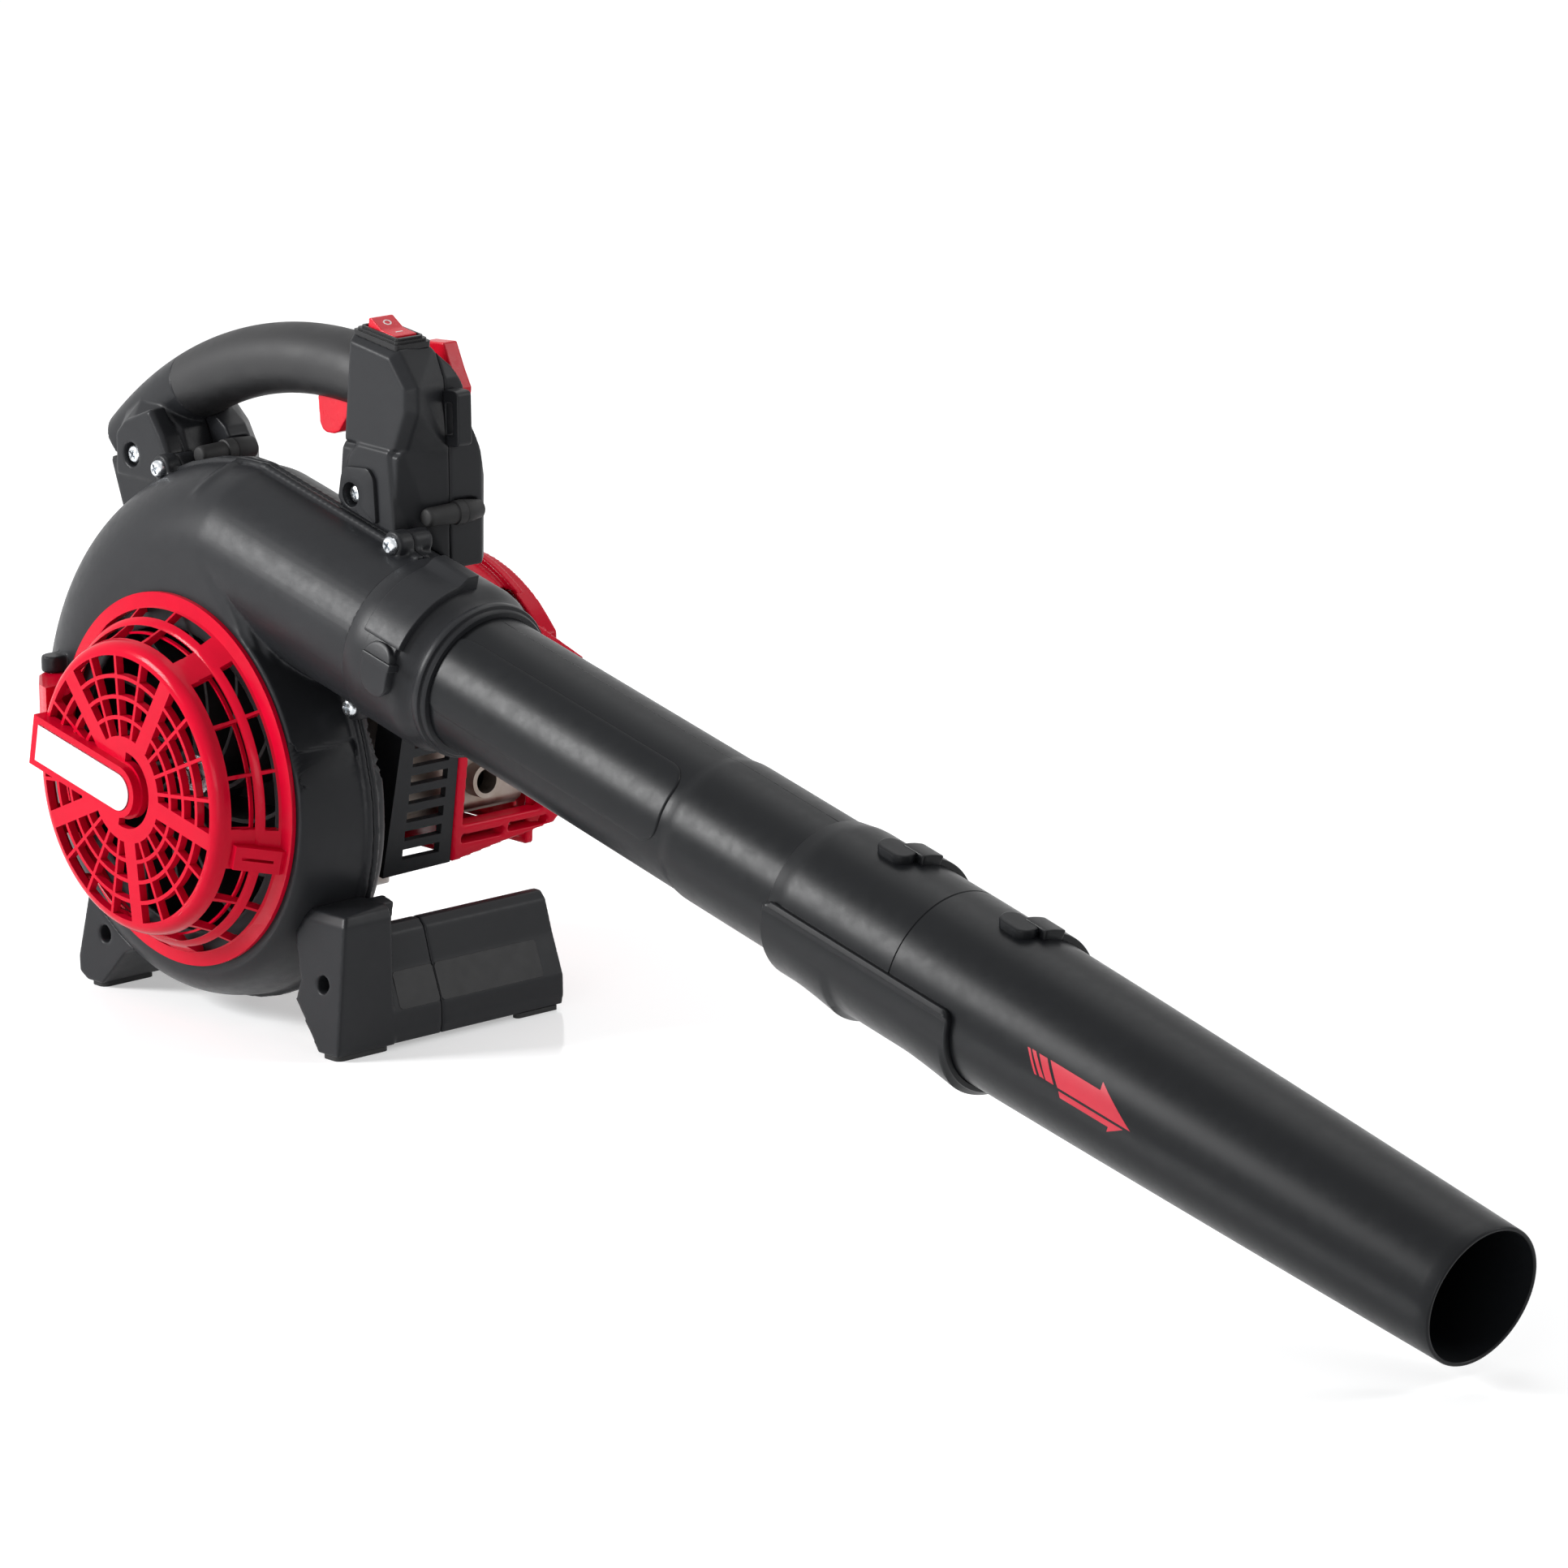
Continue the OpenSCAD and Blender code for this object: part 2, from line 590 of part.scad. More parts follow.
module throttle_arm()
    placed() color(steel) {
        along_y(-64, engine_y - 19, intake_z + 10) cylinder(r = 2.5, h = 11);
        slab(engine_y - 20, engine_y - 18) union() {
            translate([-64, intake_z + 10]) circle(5);
            translate([-66, intake_z + 10]) square([4, 16]);
            translate([-64, intake_z + 26]) circle(3.5);
        }
    }
module filter_base()
    placed() color(black) difference() {
        translate([-84, 40, intake_z - 36]) cube([6, 64, 66]);
        translate([-90, engine_y, intake_z]) rotate([0, 90, 0]) cylinder(r = 9, h = 20);
        for (z = [-30, 24]) translate([-90, 46, intake_z + z]) rotate([0, 90, 0])
            cylinder(r = 2, h = 20);
    }
module filter_element()
    placed() color([0.2, 0.2, 0.22]) difference() {
        translate([-100, 48, intake_z - 28]) cube([16, 48, 50]);
        translate([-98, 60, intake_z - 16]) cube([15, 24, 26]);
    }
module filter_cover()
    placed() color(black) difference() {
        intersection() {
            translate([-120, 40, intake_z - 36]) cube([36, 64, 66]);
            slab(30, 120) union() {
                translate([-104, intake_z - 36]) square([20, 66]);
                translate([-120, intake_z - 20]) square([40, 34]);
                translate([-104, intake_z - 20]) circle(16);
                translate([-104, intake_z + 14]) circle(16);
            }
        }
        translate([-105, 43, intake_z - 33]) cube([30, 58, 60]);
        for (i = [0:4]) translate([-125, 52, intake_z - 22 + i * 9]) cube([12, 40, 4]);
        along_y(-92, 95, intake_z - 26) cylinder(r = 2.55, h = 20);
    }
module choke_lever()
    placed() color(red) {
        along_y(-92, 101.5, intake_z - 26) cylinder(r = 2.5, h = 5);
        along_y(-92, 104.3, intake_z - 26) cylinder(r = 6, h = 4);
        slab(104.3, 107.3) translate([-92, intake_z - 26]) rotate(200) translate([0, -3])
            square([24, 6]);
    }
module primer_bulb()
    placed() color([0.75, 0.25, 0.2]) {
        along_y(-64, engine_y + 13, intake_z - 5) cylinder(r = 9.7, h = 2.5);
        intersection() {
            along_y(-64, engine_y + 15.2, intake_z - 5) sphere(r = 9);
            translate([-80, engine_y + 15.2, intake_z - 30]) cube([40, 20, 50]);
        }
    }
tank_x0 = -112;
tank_x1 = -32;
tank_z = 34;                      // bottom of the tank, on the rear foot
tank_h = 37;
module fuel_tank()
    placed() color([0.85, 0.85, 0.8]) difference() {
        union() {
            intersection() {
                translate([0, 0, tank_z]) linear_extrude(tank_h)
                    round_plan(tank_x0, 46, tank_x1, 124, 14);
                slab(40, 130) translate([tank_x0, tank_z])
                    offset_rect(tank_x1 - tank_x0, tank_h, 10);
            }
            translate([-86, 98, tank_z + tank_h - 4]) cylinder(r = 15, h = 14);
        }
        intersection() {
            translate([0, 0, tank_z + 3]) linear_extrude(tank_h - 6)
                round_plan(tank_x0 + 3, 49, tank_x1 - 3, 121, 11);
            slab(45, 125) translate([tank_x0 + 3, tank_z + 3])
                offset_rect(tank_x1 - tank_x0 - 6, tank_h - 6, 7);
        }
        translate([-86, 98, tank_z + tank_h - 10]) cylinder(r = 11, h = 30);
    }
module fuel_cap()
    placed() color(black) translate([-86, 98, tank_z + tank_h]) difference() {
        union() {
            translate([0, 0, 10.2]) cylinder(r = 19, h = 4);
            cylinder(r = 10.9, h = 11);
            translate([0, 0, 14]) cylinder(r = 17, h = 9);
            for (k = [0:9]) rotate(k * 36) translate([15, -2, 10.2]) cube([3.6, 4, 12]);
        }
        translate([0, 0, -8]) cylinder(r = 8, h = 16);
    }

// ---- blow tube ----
module outlet_collar()
    placed() color(black) difference() {
        union() {
            on_tube(duct_to) cylinder(r = duct_r + 1.5, h = 26.5);
            on_tube(duct_to + 26.5) cylinder(r1 = duct_r + 1.5, r2 = duct_r - 1, h = 5);
            on_tube(duct_to + 31.5) cylinder(r1 = duct_r - 1, r2 = tube_r + 1.5,
                                             h = collar_to - duct_to - 31.5);
            // clamping band, its square ear on top and the D-shaped lug on the side
            on_tube(duct_to + 8) rotate(90) rotate_extrude(angle = 150)
                translate([duct_r, 0]) square([4.5, 18]);
            on_tube(duct_to + 4) translate([-duct_r - 8, -9, 0]) cube([14, 18, 30]);
            on_tube(duct_to + 17) rotate(-82) translate([duct_r - 6, 0, 0]) rotate([0, 90, 0])
                intersection() {
                    cylinder(r = 14, h = 13);
                    translate([-14, -15, 0]) cube([24, 30, 13]);
                }
        }
        on_tube(duct_to - 30) cylinder(r = tube_r + 0.1, h = 120);
        on_tube(duct_to - 30) cylinder(r = duct_r - wall, h = 50);
    }
tube_profile = [
    [collar_to - 26, tube_r], [tube_step - 4, tube_r + 0.6], [tube_step + 4, tube_r + 1.6],
    [socket_from + 50, tube_r + 1.6]];
function outer_line(l) = [for (p = l) [p[1], p[0]]];
function inner_line(l) = [for (k = [len(l) - 1:-1:0]) [l[k][1] - tube_wall, l[k][0]]];
module tube_of(l) on_tube(0) rotate_extrude() polygon(concat(outer_line(l), inner_line(l)));
module tube_first()
    placed() color(black) union() {
        tube_of(tube_profile);
        // raised panel on the near side
        on_tube(202) rotate(-148) rotate_extrude(angle = 62) translate([tube_r - 0.5, 0])
            square([1.9, 138]);
    }
nozzle_steps = 10;
nozzle_line = concat(
    [[socket_from, socket_r - 0.8], [socket_from + 3, socket_r], [socket_to - 1, socket_r],
     [socket_to, socket_r - 0.6], [socket_to + 1, socket_r]],
    [for (i = [1:nozzle_steps]) let (t = i / nozzle_steps)
        [socket_to + 1 + t * (tube_end - socket_to - 1),
         socket_r - (socket_r - mouth_r) * pow(t, 1.35)]]);
mouth_bore = 40;                  // straight length of the bore at the mouth
function nozzle_bore(l) = [for (k = [len(l) - 1:-1:0]) if (l[k][0] < tube_end - mouth_bore)
    [l[k][1] - tube_wall, l[k][0]]];
module tube_nozzle()
    placed() color(black) difference() {
        union() {
            on_tube(0) rotate_extrude() polygon(concat(outer_line(nozzle_line),
                [[0, tube_end], [0, socket_from]]));
            for (s = [498, 582]) bayonet(s);
        }
        on_tube(0) rotate_extrude() polygon(concat(
            [[0, tube_end + 1], [mouth_r - 2, tube_end + 1], [mouth_r - 2, tube_end - mouth_bore]],
            nozzle_bore(nozzle_line), [[0, socket_from]]));
        on_tube(socket_from - 1) cylinder(r = tube_r + 1.6 + 0.02, h = 52);
    }
// A tongue and its hooked saddle on top of the socket
module bayonet(s) {
    on_tube(s) rotate(183) translate([socket_r - 4, 0, 0]) rotate([0, 90, 0]) cylinder(r = 7, h = 8);
    on_tube(s - 6.2) rotate(156) rotate_extrude(angle = 27)
        translate([socket_r - 3, 0]) square([6.6, 12.4]);
    on_tube(s - 3) rotate(103) rotate_extrude(angle = 57)
        translate([socket_r - 3, 0]) square([5.5, 16]);
    on_tube(s - 2) rotate(154) rotate_extrude(angle = 9)
        translate([socket_r - 2.5, 0]) square([8, 14.5]);
}
module tube_latch()
    placed() color(black) difference() {
        on_tube(socket_from + 1) rotate(-100) rotate_extrude(angle = 100)
            translate([socket_r + 0.02, 0]) offset_rect(2.6, latch_to - socket_from - 1, 1.2);
        // thumb slot and the scalloped lower edge
        on_tube(522) rotate(-30) translate([30, -12, 0]) cube([30, 24, 3]);
        for (s = [500, 566]) on_tube(s) rotate(4) translate([30, 0, 0]) rotate([0, 90, 0])
            cylinder(r = 20, h = 30);
    }

// ---- feet ----
pad_h = 2.5;                      // height of the rubber pads
front_seam = 28;                  // joint between the two halves of the cross bar
foot_end = 108;
front_plate = [[80, 62], [87, 36], [84, 26], [104, pad_h], [120, pad_h], [120, 68], [118, 73],
               [108, 80], [98, 84]];
bar_section = [[92, pad_h], [118.5, pad_h], [120, 8], [120, 18], [112, 39.5], [107, 56],
               [103, 60], [98, 60], [92, 54]];
rear_plate = [[-86, 50], [-96.5, 14], [-96, 6], [-90, pad_h], [-77, pad_h], [-56, 23],
              [-40, 30], [-44, 60], [-72, 68]];
rear_section = [[-96, pad_h], [-96, 14], [-90, 34], [-66, 34], [-60, 20], [-77, pad_h]];
bar_hollow = [[96, -1], [113, -1], [115, 14], [108, 38], [103, 54], [97, 54]];
rear_hollow = [[-92, -1], [-92, 13], [-87, 30], [-68, 30], [-65, 21], [-78, 4], [-78, -1]];
// Side view of the leaning front foot, in Y and Z
module foot_lean()
    translate([60, 0, 0]) rotate([90, 0, 90]) linear_extrude(80)
        polygon([[-40, 0], [-33.5, 68], [-31, 73], [-3, 75], [-3, 0]]);
module front_foot()
    placed() color(black) difference() {
        union() {
            intersection() {
                slab(-41, -3) polygon(front_plate);
                foot_lean();
            }
            slab(-3, front_seam) polygon(bar_section);
            slab(-3, 5) polygon([[80, 44], [94, 36], [108, 56], [112, 74], [104, 76], [92, 72]]);
        }
        spiral_front(-0.03);
        slab(-4, 40) housing_outline(2.25);
        along_y(105, -42, 37) cylinder(r = 4.5, h = 22);
        along_y(105, -42, 37) cylinder(r = 2.2, h = 32);
        slab(0, front_seam + 1) polygon(bar_hollow);
    }
module front_foot_end()
    placed() color(black) difference() {
        slab(front_seam, foot_end) polygon(bar_section);
        slab(front_seam - 1, foot_end - 3) polygon(bar_hollow);
        along_y(104, foot_end - 4, 30) cylinder(r = 4.5, h = 20);
    }
module rear_foot()
    placed() color(black) difference() {
        union() {
            slab(-39, -2) polygon(rear_plate);
            slab(-2, front_seam) polygon(rear_section);
        }
        spiral_front(-0.03);
        slab(-4, 40) housing_outline(2.25);
        along_y(-73, -42, 30) cylinder(r = 4.5, h = 20);
        slab(0, front_seam + 1) polygon(rear_hollow);
    }
module rear_foot_end()
    placed() color(black) difference() {
        slab(front_seam, foot_end) polygon(rear_section);
        slab(front_seam - 1, foot_end - 3) polygon(rear_hollow);
    }
module foot_pads()
    placed() color(rubber) {
        translate([105, -38.5]) linear_extrude(pad_h) offset_rect(14, 33, 4);
        translate([113.5, foot_end - 30]) linear_extrude(pad_h) offset_rect(5, 27, 2);
        translate([-89.5, -37]) linear_extrude(pad_h) offset_rect(12, 33, 4);
        translate([-95.5, foot_end - 30]) linear_extrude(pad_h) offset_rect(3.5, 27, 1.5);
    }

// ---- handle ----
handle_seam = 31;                 // parting plane of the handle
near_y = 2;
far_y = 55;
core_r = grip_r - 4;
trigger_at = [58, 330];
arch_c = [40.5, 89.7, 246.2];     // centre X, centre Z and radius of the grip's arch
sleeve_front = -9.6;              // lean of the arch at the sleeve's front end
sleeve_back = 26.6;               // and at its rear end
head_near = [[82, 303], [84, 320], [89, 361], [124, 356], [138, 339], [138, 326], [127, 303]];
head_seam = [[82, 303], [86, 340], [90, 361], [121, 356], [129, 339], [132, 303]];
foot_near = [[74, 243], [78, 275], [82, 305], [128, 305], [124, 272], [122, 243]];
foot_seam = [[74, 243], [78, 275], [82, 305], [132, 305], [131, 243]];
leg_head = [[-112, 266], [-116, 282], [-110, 292], [-98, 300], [-80, 300], [-64, 290],
            [-54, 266]];
leg_foot = [[-103, 244], [-112, 270], [-50, 270], [-44, 260], [-60, 246]];
handle_screw_at = [[93, 280], [-90, 274]];

// Part of the arch between two leans, with a round section
module arch(front, back, r)
    translate([arch_c[0], handle_seam, arch_c[1]]) rotate([90, 0, 0]) rotate(90 + front)
        rotate_extrude(angle = back - front, $fn = 180)
            translate([arch_c[2], 0]) circle(r, $fn = 48);
module near_half() translate([-200, -20, 200]) cube([400, handle_seam + 20, 200]);
module far_half() translate([-200, handle_seam, 200]) cube([400, 60, 200]);

// An outline drawn in towards its centre
function pulled(l, c, d) = [for (p = l) p + (c - p) * d / norm(c - p)];
// A block between the outlines a at y0 and b at y1, with sloping edges round the face at y0
module block(a, b, c, y0, y1, cut) {
    s = sign(y1 - y0);
    hull() {
        slab(min(y0, y0 + s), max(y0, y0 + s)) polygon(pulled(a, c, cut));
        slab(min(y0 + s * cut, y0 + s * (cut + 1)), max(y0 + s * cut, y0 + s * (cut + 1)))
            polygon(a);
        slab(min(y1 - s, y1), max(y1 - s, y1)) polygon(b);
    }
}
head_mid = [106, 328];
foot_mid = [102, 262];
leg_mid = [-84, 282];
leg_low = [-76, 260];
// Side view of the column's top, in Y and Z
module column_top()
    translate([60, 0, 0]) rotate([90, 0, 90]) linear_extrude(100)
        polygon([[-10, 230], [-10, 380], [10, 380], [26, 357], [38, 344], [43, 334], [46, 315],
                 [51, 302], [55, 287], [55, 230]]);

// Everything cut out of both halves
module handle_cuts() {
    // trigger slot, its pin and its path
    slab(handle_seam - 5.6, handle_seam + 5.6)
        polygon([[26, 286], [26, 330], [50, 341], [68, 341], [70, 318], [62, 296]]);
    along_y(trigger_at[0], handle_seam - 9, trigger_at[1]) cylinder(r = 2, h = 18);
    // seat of the grip sleeve
    difference() {
        arch(sleeve_front, sleeve_back, grip_r + 0.02);
        arch(sleeve_front - 1, sleeve_back + 1, core_r - 0.5);
    }
    // well for the switch
    on_switch() translate([-17.52, -11.02, -1.52]) cube([35.04, 22.04, 20]);
    on_switch() translate([-14.6, -8.6, -22.1]) cube([29.2, 17.2, 40]);
    // holes of the two handle screws
    for (p = handle_screw_at) {
        along_y(p[0], near_y - 4, p[1]) cylinder(r = 6.2, h = 8);
        along_y(p[0], near_y - 4, p[1]) cylinder(r = 2.2, h = 46);
    }
    // seats of the strap loop and the front buffer
    slab(29, 38) translate([129, 306]) offset_rect(12.5, 28, 3);
    along_y(134, 13, 272) cylinder(r = 5.32, h = 24);
    along_y(134, 33, 272) cylinder(r = 6.52, h = 15);
    // hollow inside of the column
    slab(near_y + 5, handle_seam + 8)
        polygon([[90, 300], [98, 334], [124, 334], [124, 310], [114, 296], [106, 300]]);
    handle_rest();
}
// The housing, its duct and the collar, which the legs stand on
module handle_rest() {
    slab(-10, 4.1) housing_outline(2.3);
    on_tube(duct_from - 20) cylinder(r = duct_r + 0.02, h = duct_to - duct_from + 20);
    on_tube(duct_to - 1) cylinder(r = duct_r + 5, h = 60);
    spiral_rear(-0.03);
    spiral_front(-0.03);
    slab(-14, 16.1) for (p = lug_places) translate(p) circle(7.2);
    slab(4, 20.05) polygon([[-96, 222], [-62, 240], [-62, 262], [-96, 250]]);
    slab(4, 20.05) polygon([[78, 226], [122, 216], [122, 252], [78, 262]]);
}
module handle_near()
    placed() color(black) difference() {
        union() {
            intersection() {
                union() {
                    block(head_near, head_seam, head_mid, near_y, handle_seam, 5);
                    block(foot_near, foot_seam, foot_mid, near_y, handle_seam, 3);
                }
                column_top();
            }
            block(leg_head, leg_head, leg_mid, near_y + 2, handle_seam, 10);
            block(leg_foot, leg_foot, leg_low, near_y, handle_seam, 3);
            // raised plates round the screws
            block([[88, 299], [96, 307], [122, 306], [126, 262], [80, 262]],
                  [[88, 299], [96, 307], [122, 306], [126, 262], [80, 262]], [104, 284],
                  near_y - 1.5, near_y + 6, 2);
            block([[-104, 284], [-97, 291], [-74, 300], [-64, 287], [-50, 262], [-104, 262]],
                  [[-104, 284], [-97, 291], [-74, 300], [-64, 287], [-50, 262], [-104, 262]],
                  [-84, 276], near_y - 1.5, near_y + 9, 2);
            intersection() {
                union() {
                    arch(-13, 42, core_r);
                    arch(sleeve_back, 42, grip_r);
                }
                near_half();
            }
        }
        handle_cuts();
    }
module handle_far()
    placed() color(black) difference() {
        union() {
            intersection() {
                union() {
                    block(head_seam, head_seam, head_mid, far_y, handle_seam, 4);
                    block(foot_seam, foot_seam, foot_mid, far_y, handle_seam, 4);
                }
                column_top();
            }
            block(leg_head, leg_head, leg_mid, 52, handle_seam, 9);
            block(leg_foot, leg_foot, leg_low, far_y, handle_seam, 3);
            // shoulder that spreads the load to the rear of the housing
            hull() {
                slab(44, far_y) polygon([[-84, 296], [-72, 298], [-61, 289], [-53, 276],
                                         [-53, 266], [-84, 262]]);
                slab(handle_seam, 44) polygon([[-90, 300], [-66, 300], [-50, 290], [-42, 278],
                                               [-42, 268], [-90, 262]]);
            }
            intersection() {
                union() {
                    arch(-13, 42, core_r);
                    arch(sleeve_back, 42, grip_r);
                }
                far_half();
            }
        }
        handle_cuts();
        along_y(lever_at[0], 36, lever_at[1]) cylinder(r = 4.05, h = 40);
        // seats of the rear buffer
        along_y(-43, 7, 279) cylinder(r = 7.02, h = 36.02);
    }
module grip_sleeve()
    placed() color(rubber) difference() {
        arch(sleeve_front, sleeve_back, grip_r);
        arch(sleeve_front - 3, sleeve_back + 6, core_r - 0.48);
        slab(handle_seam - 5.6, handle_seam + 5.6)
            polygon([[26, 286], [26, 326], [70, 326], [70, 296]]);
    }
module trigger()
    placed() color(red) difference() {
        slab(handle_seam - 5, handle_seam + 5) polygon([[62, 325], [63, 333], [56, 335],
            [40, 328], [34, 318], [35, 305], [37, 301.6], [40, 300.3], [46, 300.4],
            [50.5, 302], [56.6, 309.7], [60, 320]]);
        along_y(trigger_at[0], 10, trigger_at[1]) cylinder(r = 2.05, h = 50);
    }
module trigger_pin()
    placed() color(steel) along_y(trigger_at[0], handle_seam - 9, trigger_at[1]) cylinder(r = 2, h = 18);
lever_at = [100, 334];
module cruise_lever()
    placed() color(red) {
        along_y(lever_at[0], 40, lever_at[1]) cylinder(r = 4, h = 12);
        along_y(lever_at[0], 48.3, lever_at[1]) cylinder(r = 8, h = 4);
        slab(51, 60) polygon([[88, 350], [104, 351], [110, 338], [115, 329], [114, 322],
                              [110, 319], [101, 321], [91, 334]]);
    }
// The switch stands on the sloping top of the column
module on_switch() translate([106, 17, 358.5]) rotate([0, 7.5, 0]) children();
module switch_bezel()
    placed() color(black) on_switch() difference() {
        union() {
            translate([-17.5, -11, -1.5]) linear_extrude(3) offset_rect(35, 22, 2);
            translate([-16, -9.8, -1.5]) linear_extrude(4.3) offset_rect(32, 19.6, 2);
            translate([-14.5, -8.5, -22]) linear_extrude(26) offset_rect(29, 17, 2);
        }
        translate([-13, -7.3, -23]) cube([26, 14.6, 40]);
        translate([0, 9, -3]) rotate([90, 0, 0]) cylinder(r = 1.55, h = 18);
    }
module stop_switch()
    placed() color(red) on_switch() union() {
        intersection() {
            translate([0, 7, -3]) rotate([90, 0, 0]) cylinder(r = 12.6, h = 14);
            translate([-14, -7, -16]) cube([28, 14, 17]);
        }
        slab(-7, 7) polygon([[-10.6, -2], [-10.2, 8.2], [-8.5, 8.6], [0, 4.6], [10.6, 4.2],
                             [11, -2]]);
        translate([0, 8.4, -3]) rotate([90, 0, 0]) cylinder(r = 1.5, h = 16.8);
    }
module strap_loop()
    placed() color(black) slab(29, 38) difference() {
        translate([129, 306]) offset_rect(12.5, 28, 3);
        translate([132, 311]) square([5, 17]);
    }
module buffers()
    placed() color(rubber) {
        along_y(-43, 8, 279) cylinder(r = 5.3, h = 20);
        along_y(-43, 26, 279) cylinder(r = 7, h = 17);
        along_y(134, 13, 272) cylinder(r = 5.3, h = 24);
        along_y(134, 33, 272) cylinder(r = 6.5, h = 15);
    }

// ---- screws ----
module screw(r_head, h_head, r, h)
    difference() {
        union() {
            cylinder(r = r_head, h = h_head);
            cylinder(r = r, h = h_head + h);
        }
        for (a = [0, 90]) rotate(a) translate([-r_head * 0.6, -0.6, -1])
            cube([r_head * 1.2, 1.2, 2.2]);
    }
module housing_screws()
    placed() color(steel) for (p = lug_places) along_y(p[0], -12.5, p[1]) screw(4.6, 3.5, 2.2, 19);
module handle_screws()
    placed() color(steel) for (p = handle_screw_at) along_y(p[0], near_y + 0.5, p[1])
        screw(4.8, 3.5, 2.2, 38);
module engine_screws()
    placed() color(steel) for (a = case_bolts)
        on_shaft(case_y + 9) rotate(a) translate([case_bolt_r, 0, 0]) rotate([180, 0, 0])
            screw(4.6, 4, 2.6, 16);

volute_front();
volute_rear();
intake_guard();
guard_plate();
guard_hinge_pin();
impeller();
impeller_nut();
crankshaft();
outlet_collar();
tube_first();
tube_nozzle();
tube_latch();
front_foot();
front_foot_end();
rear_foot();
rear_foot_end();
foot_pads();
handle_near();
handle_far();
grip_sleeve();
trigger();
trigger_pin();
cruise_lever();
stop_switch();
switch_bezel();
strap_loop();
buffers();
crankcase();
crank_bearings();
engine_cylinder();
spark_plug();
plug_boot();
muffler();
muffler_gasket();
heat_shield();
engine_cover();
flywheel();
ignition_coil();
starter_pulley();
starter_housing();
starter_handle();
intake_insulator();
carburettor();
throttle_arm();
filter_base();
filter_element();
filter_cover();
choke_lever();
primer_bulb();
fuel_tank();
fuel_cap();
housing_screws();
handle_screws();
engine_screws();
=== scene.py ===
import json
import math

import bmesh
import bpy
import numpy as np
from mathutils import Matrix, Vector


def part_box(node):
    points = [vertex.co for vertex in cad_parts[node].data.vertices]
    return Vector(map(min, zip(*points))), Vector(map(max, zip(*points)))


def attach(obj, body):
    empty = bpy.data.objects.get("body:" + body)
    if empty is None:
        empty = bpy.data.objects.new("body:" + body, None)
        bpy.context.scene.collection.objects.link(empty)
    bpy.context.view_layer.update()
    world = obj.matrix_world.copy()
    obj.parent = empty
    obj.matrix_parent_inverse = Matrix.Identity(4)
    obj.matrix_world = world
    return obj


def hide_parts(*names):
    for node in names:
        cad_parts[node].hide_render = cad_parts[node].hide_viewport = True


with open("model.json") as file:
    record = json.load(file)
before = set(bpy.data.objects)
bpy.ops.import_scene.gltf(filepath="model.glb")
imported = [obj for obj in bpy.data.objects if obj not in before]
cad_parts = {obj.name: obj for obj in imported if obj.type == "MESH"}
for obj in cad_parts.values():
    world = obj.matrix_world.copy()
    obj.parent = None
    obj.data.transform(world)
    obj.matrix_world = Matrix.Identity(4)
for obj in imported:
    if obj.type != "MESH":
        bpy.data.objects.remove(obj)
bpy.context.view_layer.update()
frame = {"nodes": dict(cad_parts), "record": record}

# Lengths are in millimetres: x from the fan shaft towards the nozzle, y from the parting
# plane of the housing towards the engine, z up from the ground. Angles are in degrees.
mm = 0.001
layout = {
    "crankFront": 40,        # from the crankshaft's front end to the parting plane
    "shaftHeight": 126,
    "tubeRise": 120.5,       # from the shaft up to the blow tube's line
    "tubeTilt": 13.5,
}
crankLow, crankHigh = [Vector(corner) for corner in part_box("crankshaft")]
shaftX = (crankLow.x + crankHigh.x) / 2
partingY = crankLow.y + layout["crankFront"] * mm
shaftZ = layout["shaftHeight"]


def at(x, y, z):
    return Vector((shaftX + x * mm, partingY + y * mm, z * mm))


tubeTilt = math.radians(layout["tubeTilt"])
tubeRoot = at(0, 0, shaftZ + layout["tubeRise"])
tubeAlong = Vector((math.cos(tubeTilt), 0, -math.sin(tubeTilt)))
tubeDown = Vector((-math.sin(tubeTilt), 0, -math.cos(tubeTilt)))


# A point on the blow tube: s along it, turn from straight down towards the engine side,
# and the radius
def onTube(s, turn, radius):
    a = math.radians(turn)
    side = tubeDown * math.cos(a) + Vector((0, 1, 0)) * math.sin(a)
    return tubeRoot + (tubeAlong * s + side * radius) * mm


def addObject(name, data):
    thing = bpy.data.objects.new(name, data)
    bpy.context.scene.collection.objects.link(thing)
    return thing


# Camera: its place, and the directions of its right and its top
cameraSet = {
    "place": (3053.177, -2335.515, 1052.03),
    "right": (0.66474542, 0.7469757, -0.01186689),
    "up": (-0.16990769, 0.16663368, 0.97126958),
    "sensor": 36,
    "lens": 177.76,
    "shiftY": -0.00181,
}
cameraData = bpy.data.cameras.new("camera")
cameraData.sensor_width = cameraSet["sensor"]
cameraData.lens = cameraSet["lens"]
cameraData.shift_y = cameraSet["shiftY"]
camera = addObject("camera", cameraData)
right, up = Vector(cameraSet["right"]), Vector(cameraSet["up"])
turn = Matrix((right, up, right.cross(up))).transposed()
camera.matrix_world = Matrix.Translation(at(*cameraSet["place"])) @ turn.to_4x4()
bpy.context.scene.camera = camera
bpy.context.scene.view_settings.view_transform = "Standard"
print("camera placed")

# Materials: each has noise in its colour and its roughness, and a grain as bump
materials = {}
noiseSpan = (0.3, 0.7)       # the part of a noise's range that is put to use


def startMaterial(name):
    material = bpy.data.materials.new(name)
    material.use_nodes = True
    tree = material.node_tree
    shader = tree.nodes["Principled BSDF"]
    place = tree.nodes.new("ShaderNodeTexCoord")
    materials[name] = material
    return tree, shader, place.outputs["Object"]


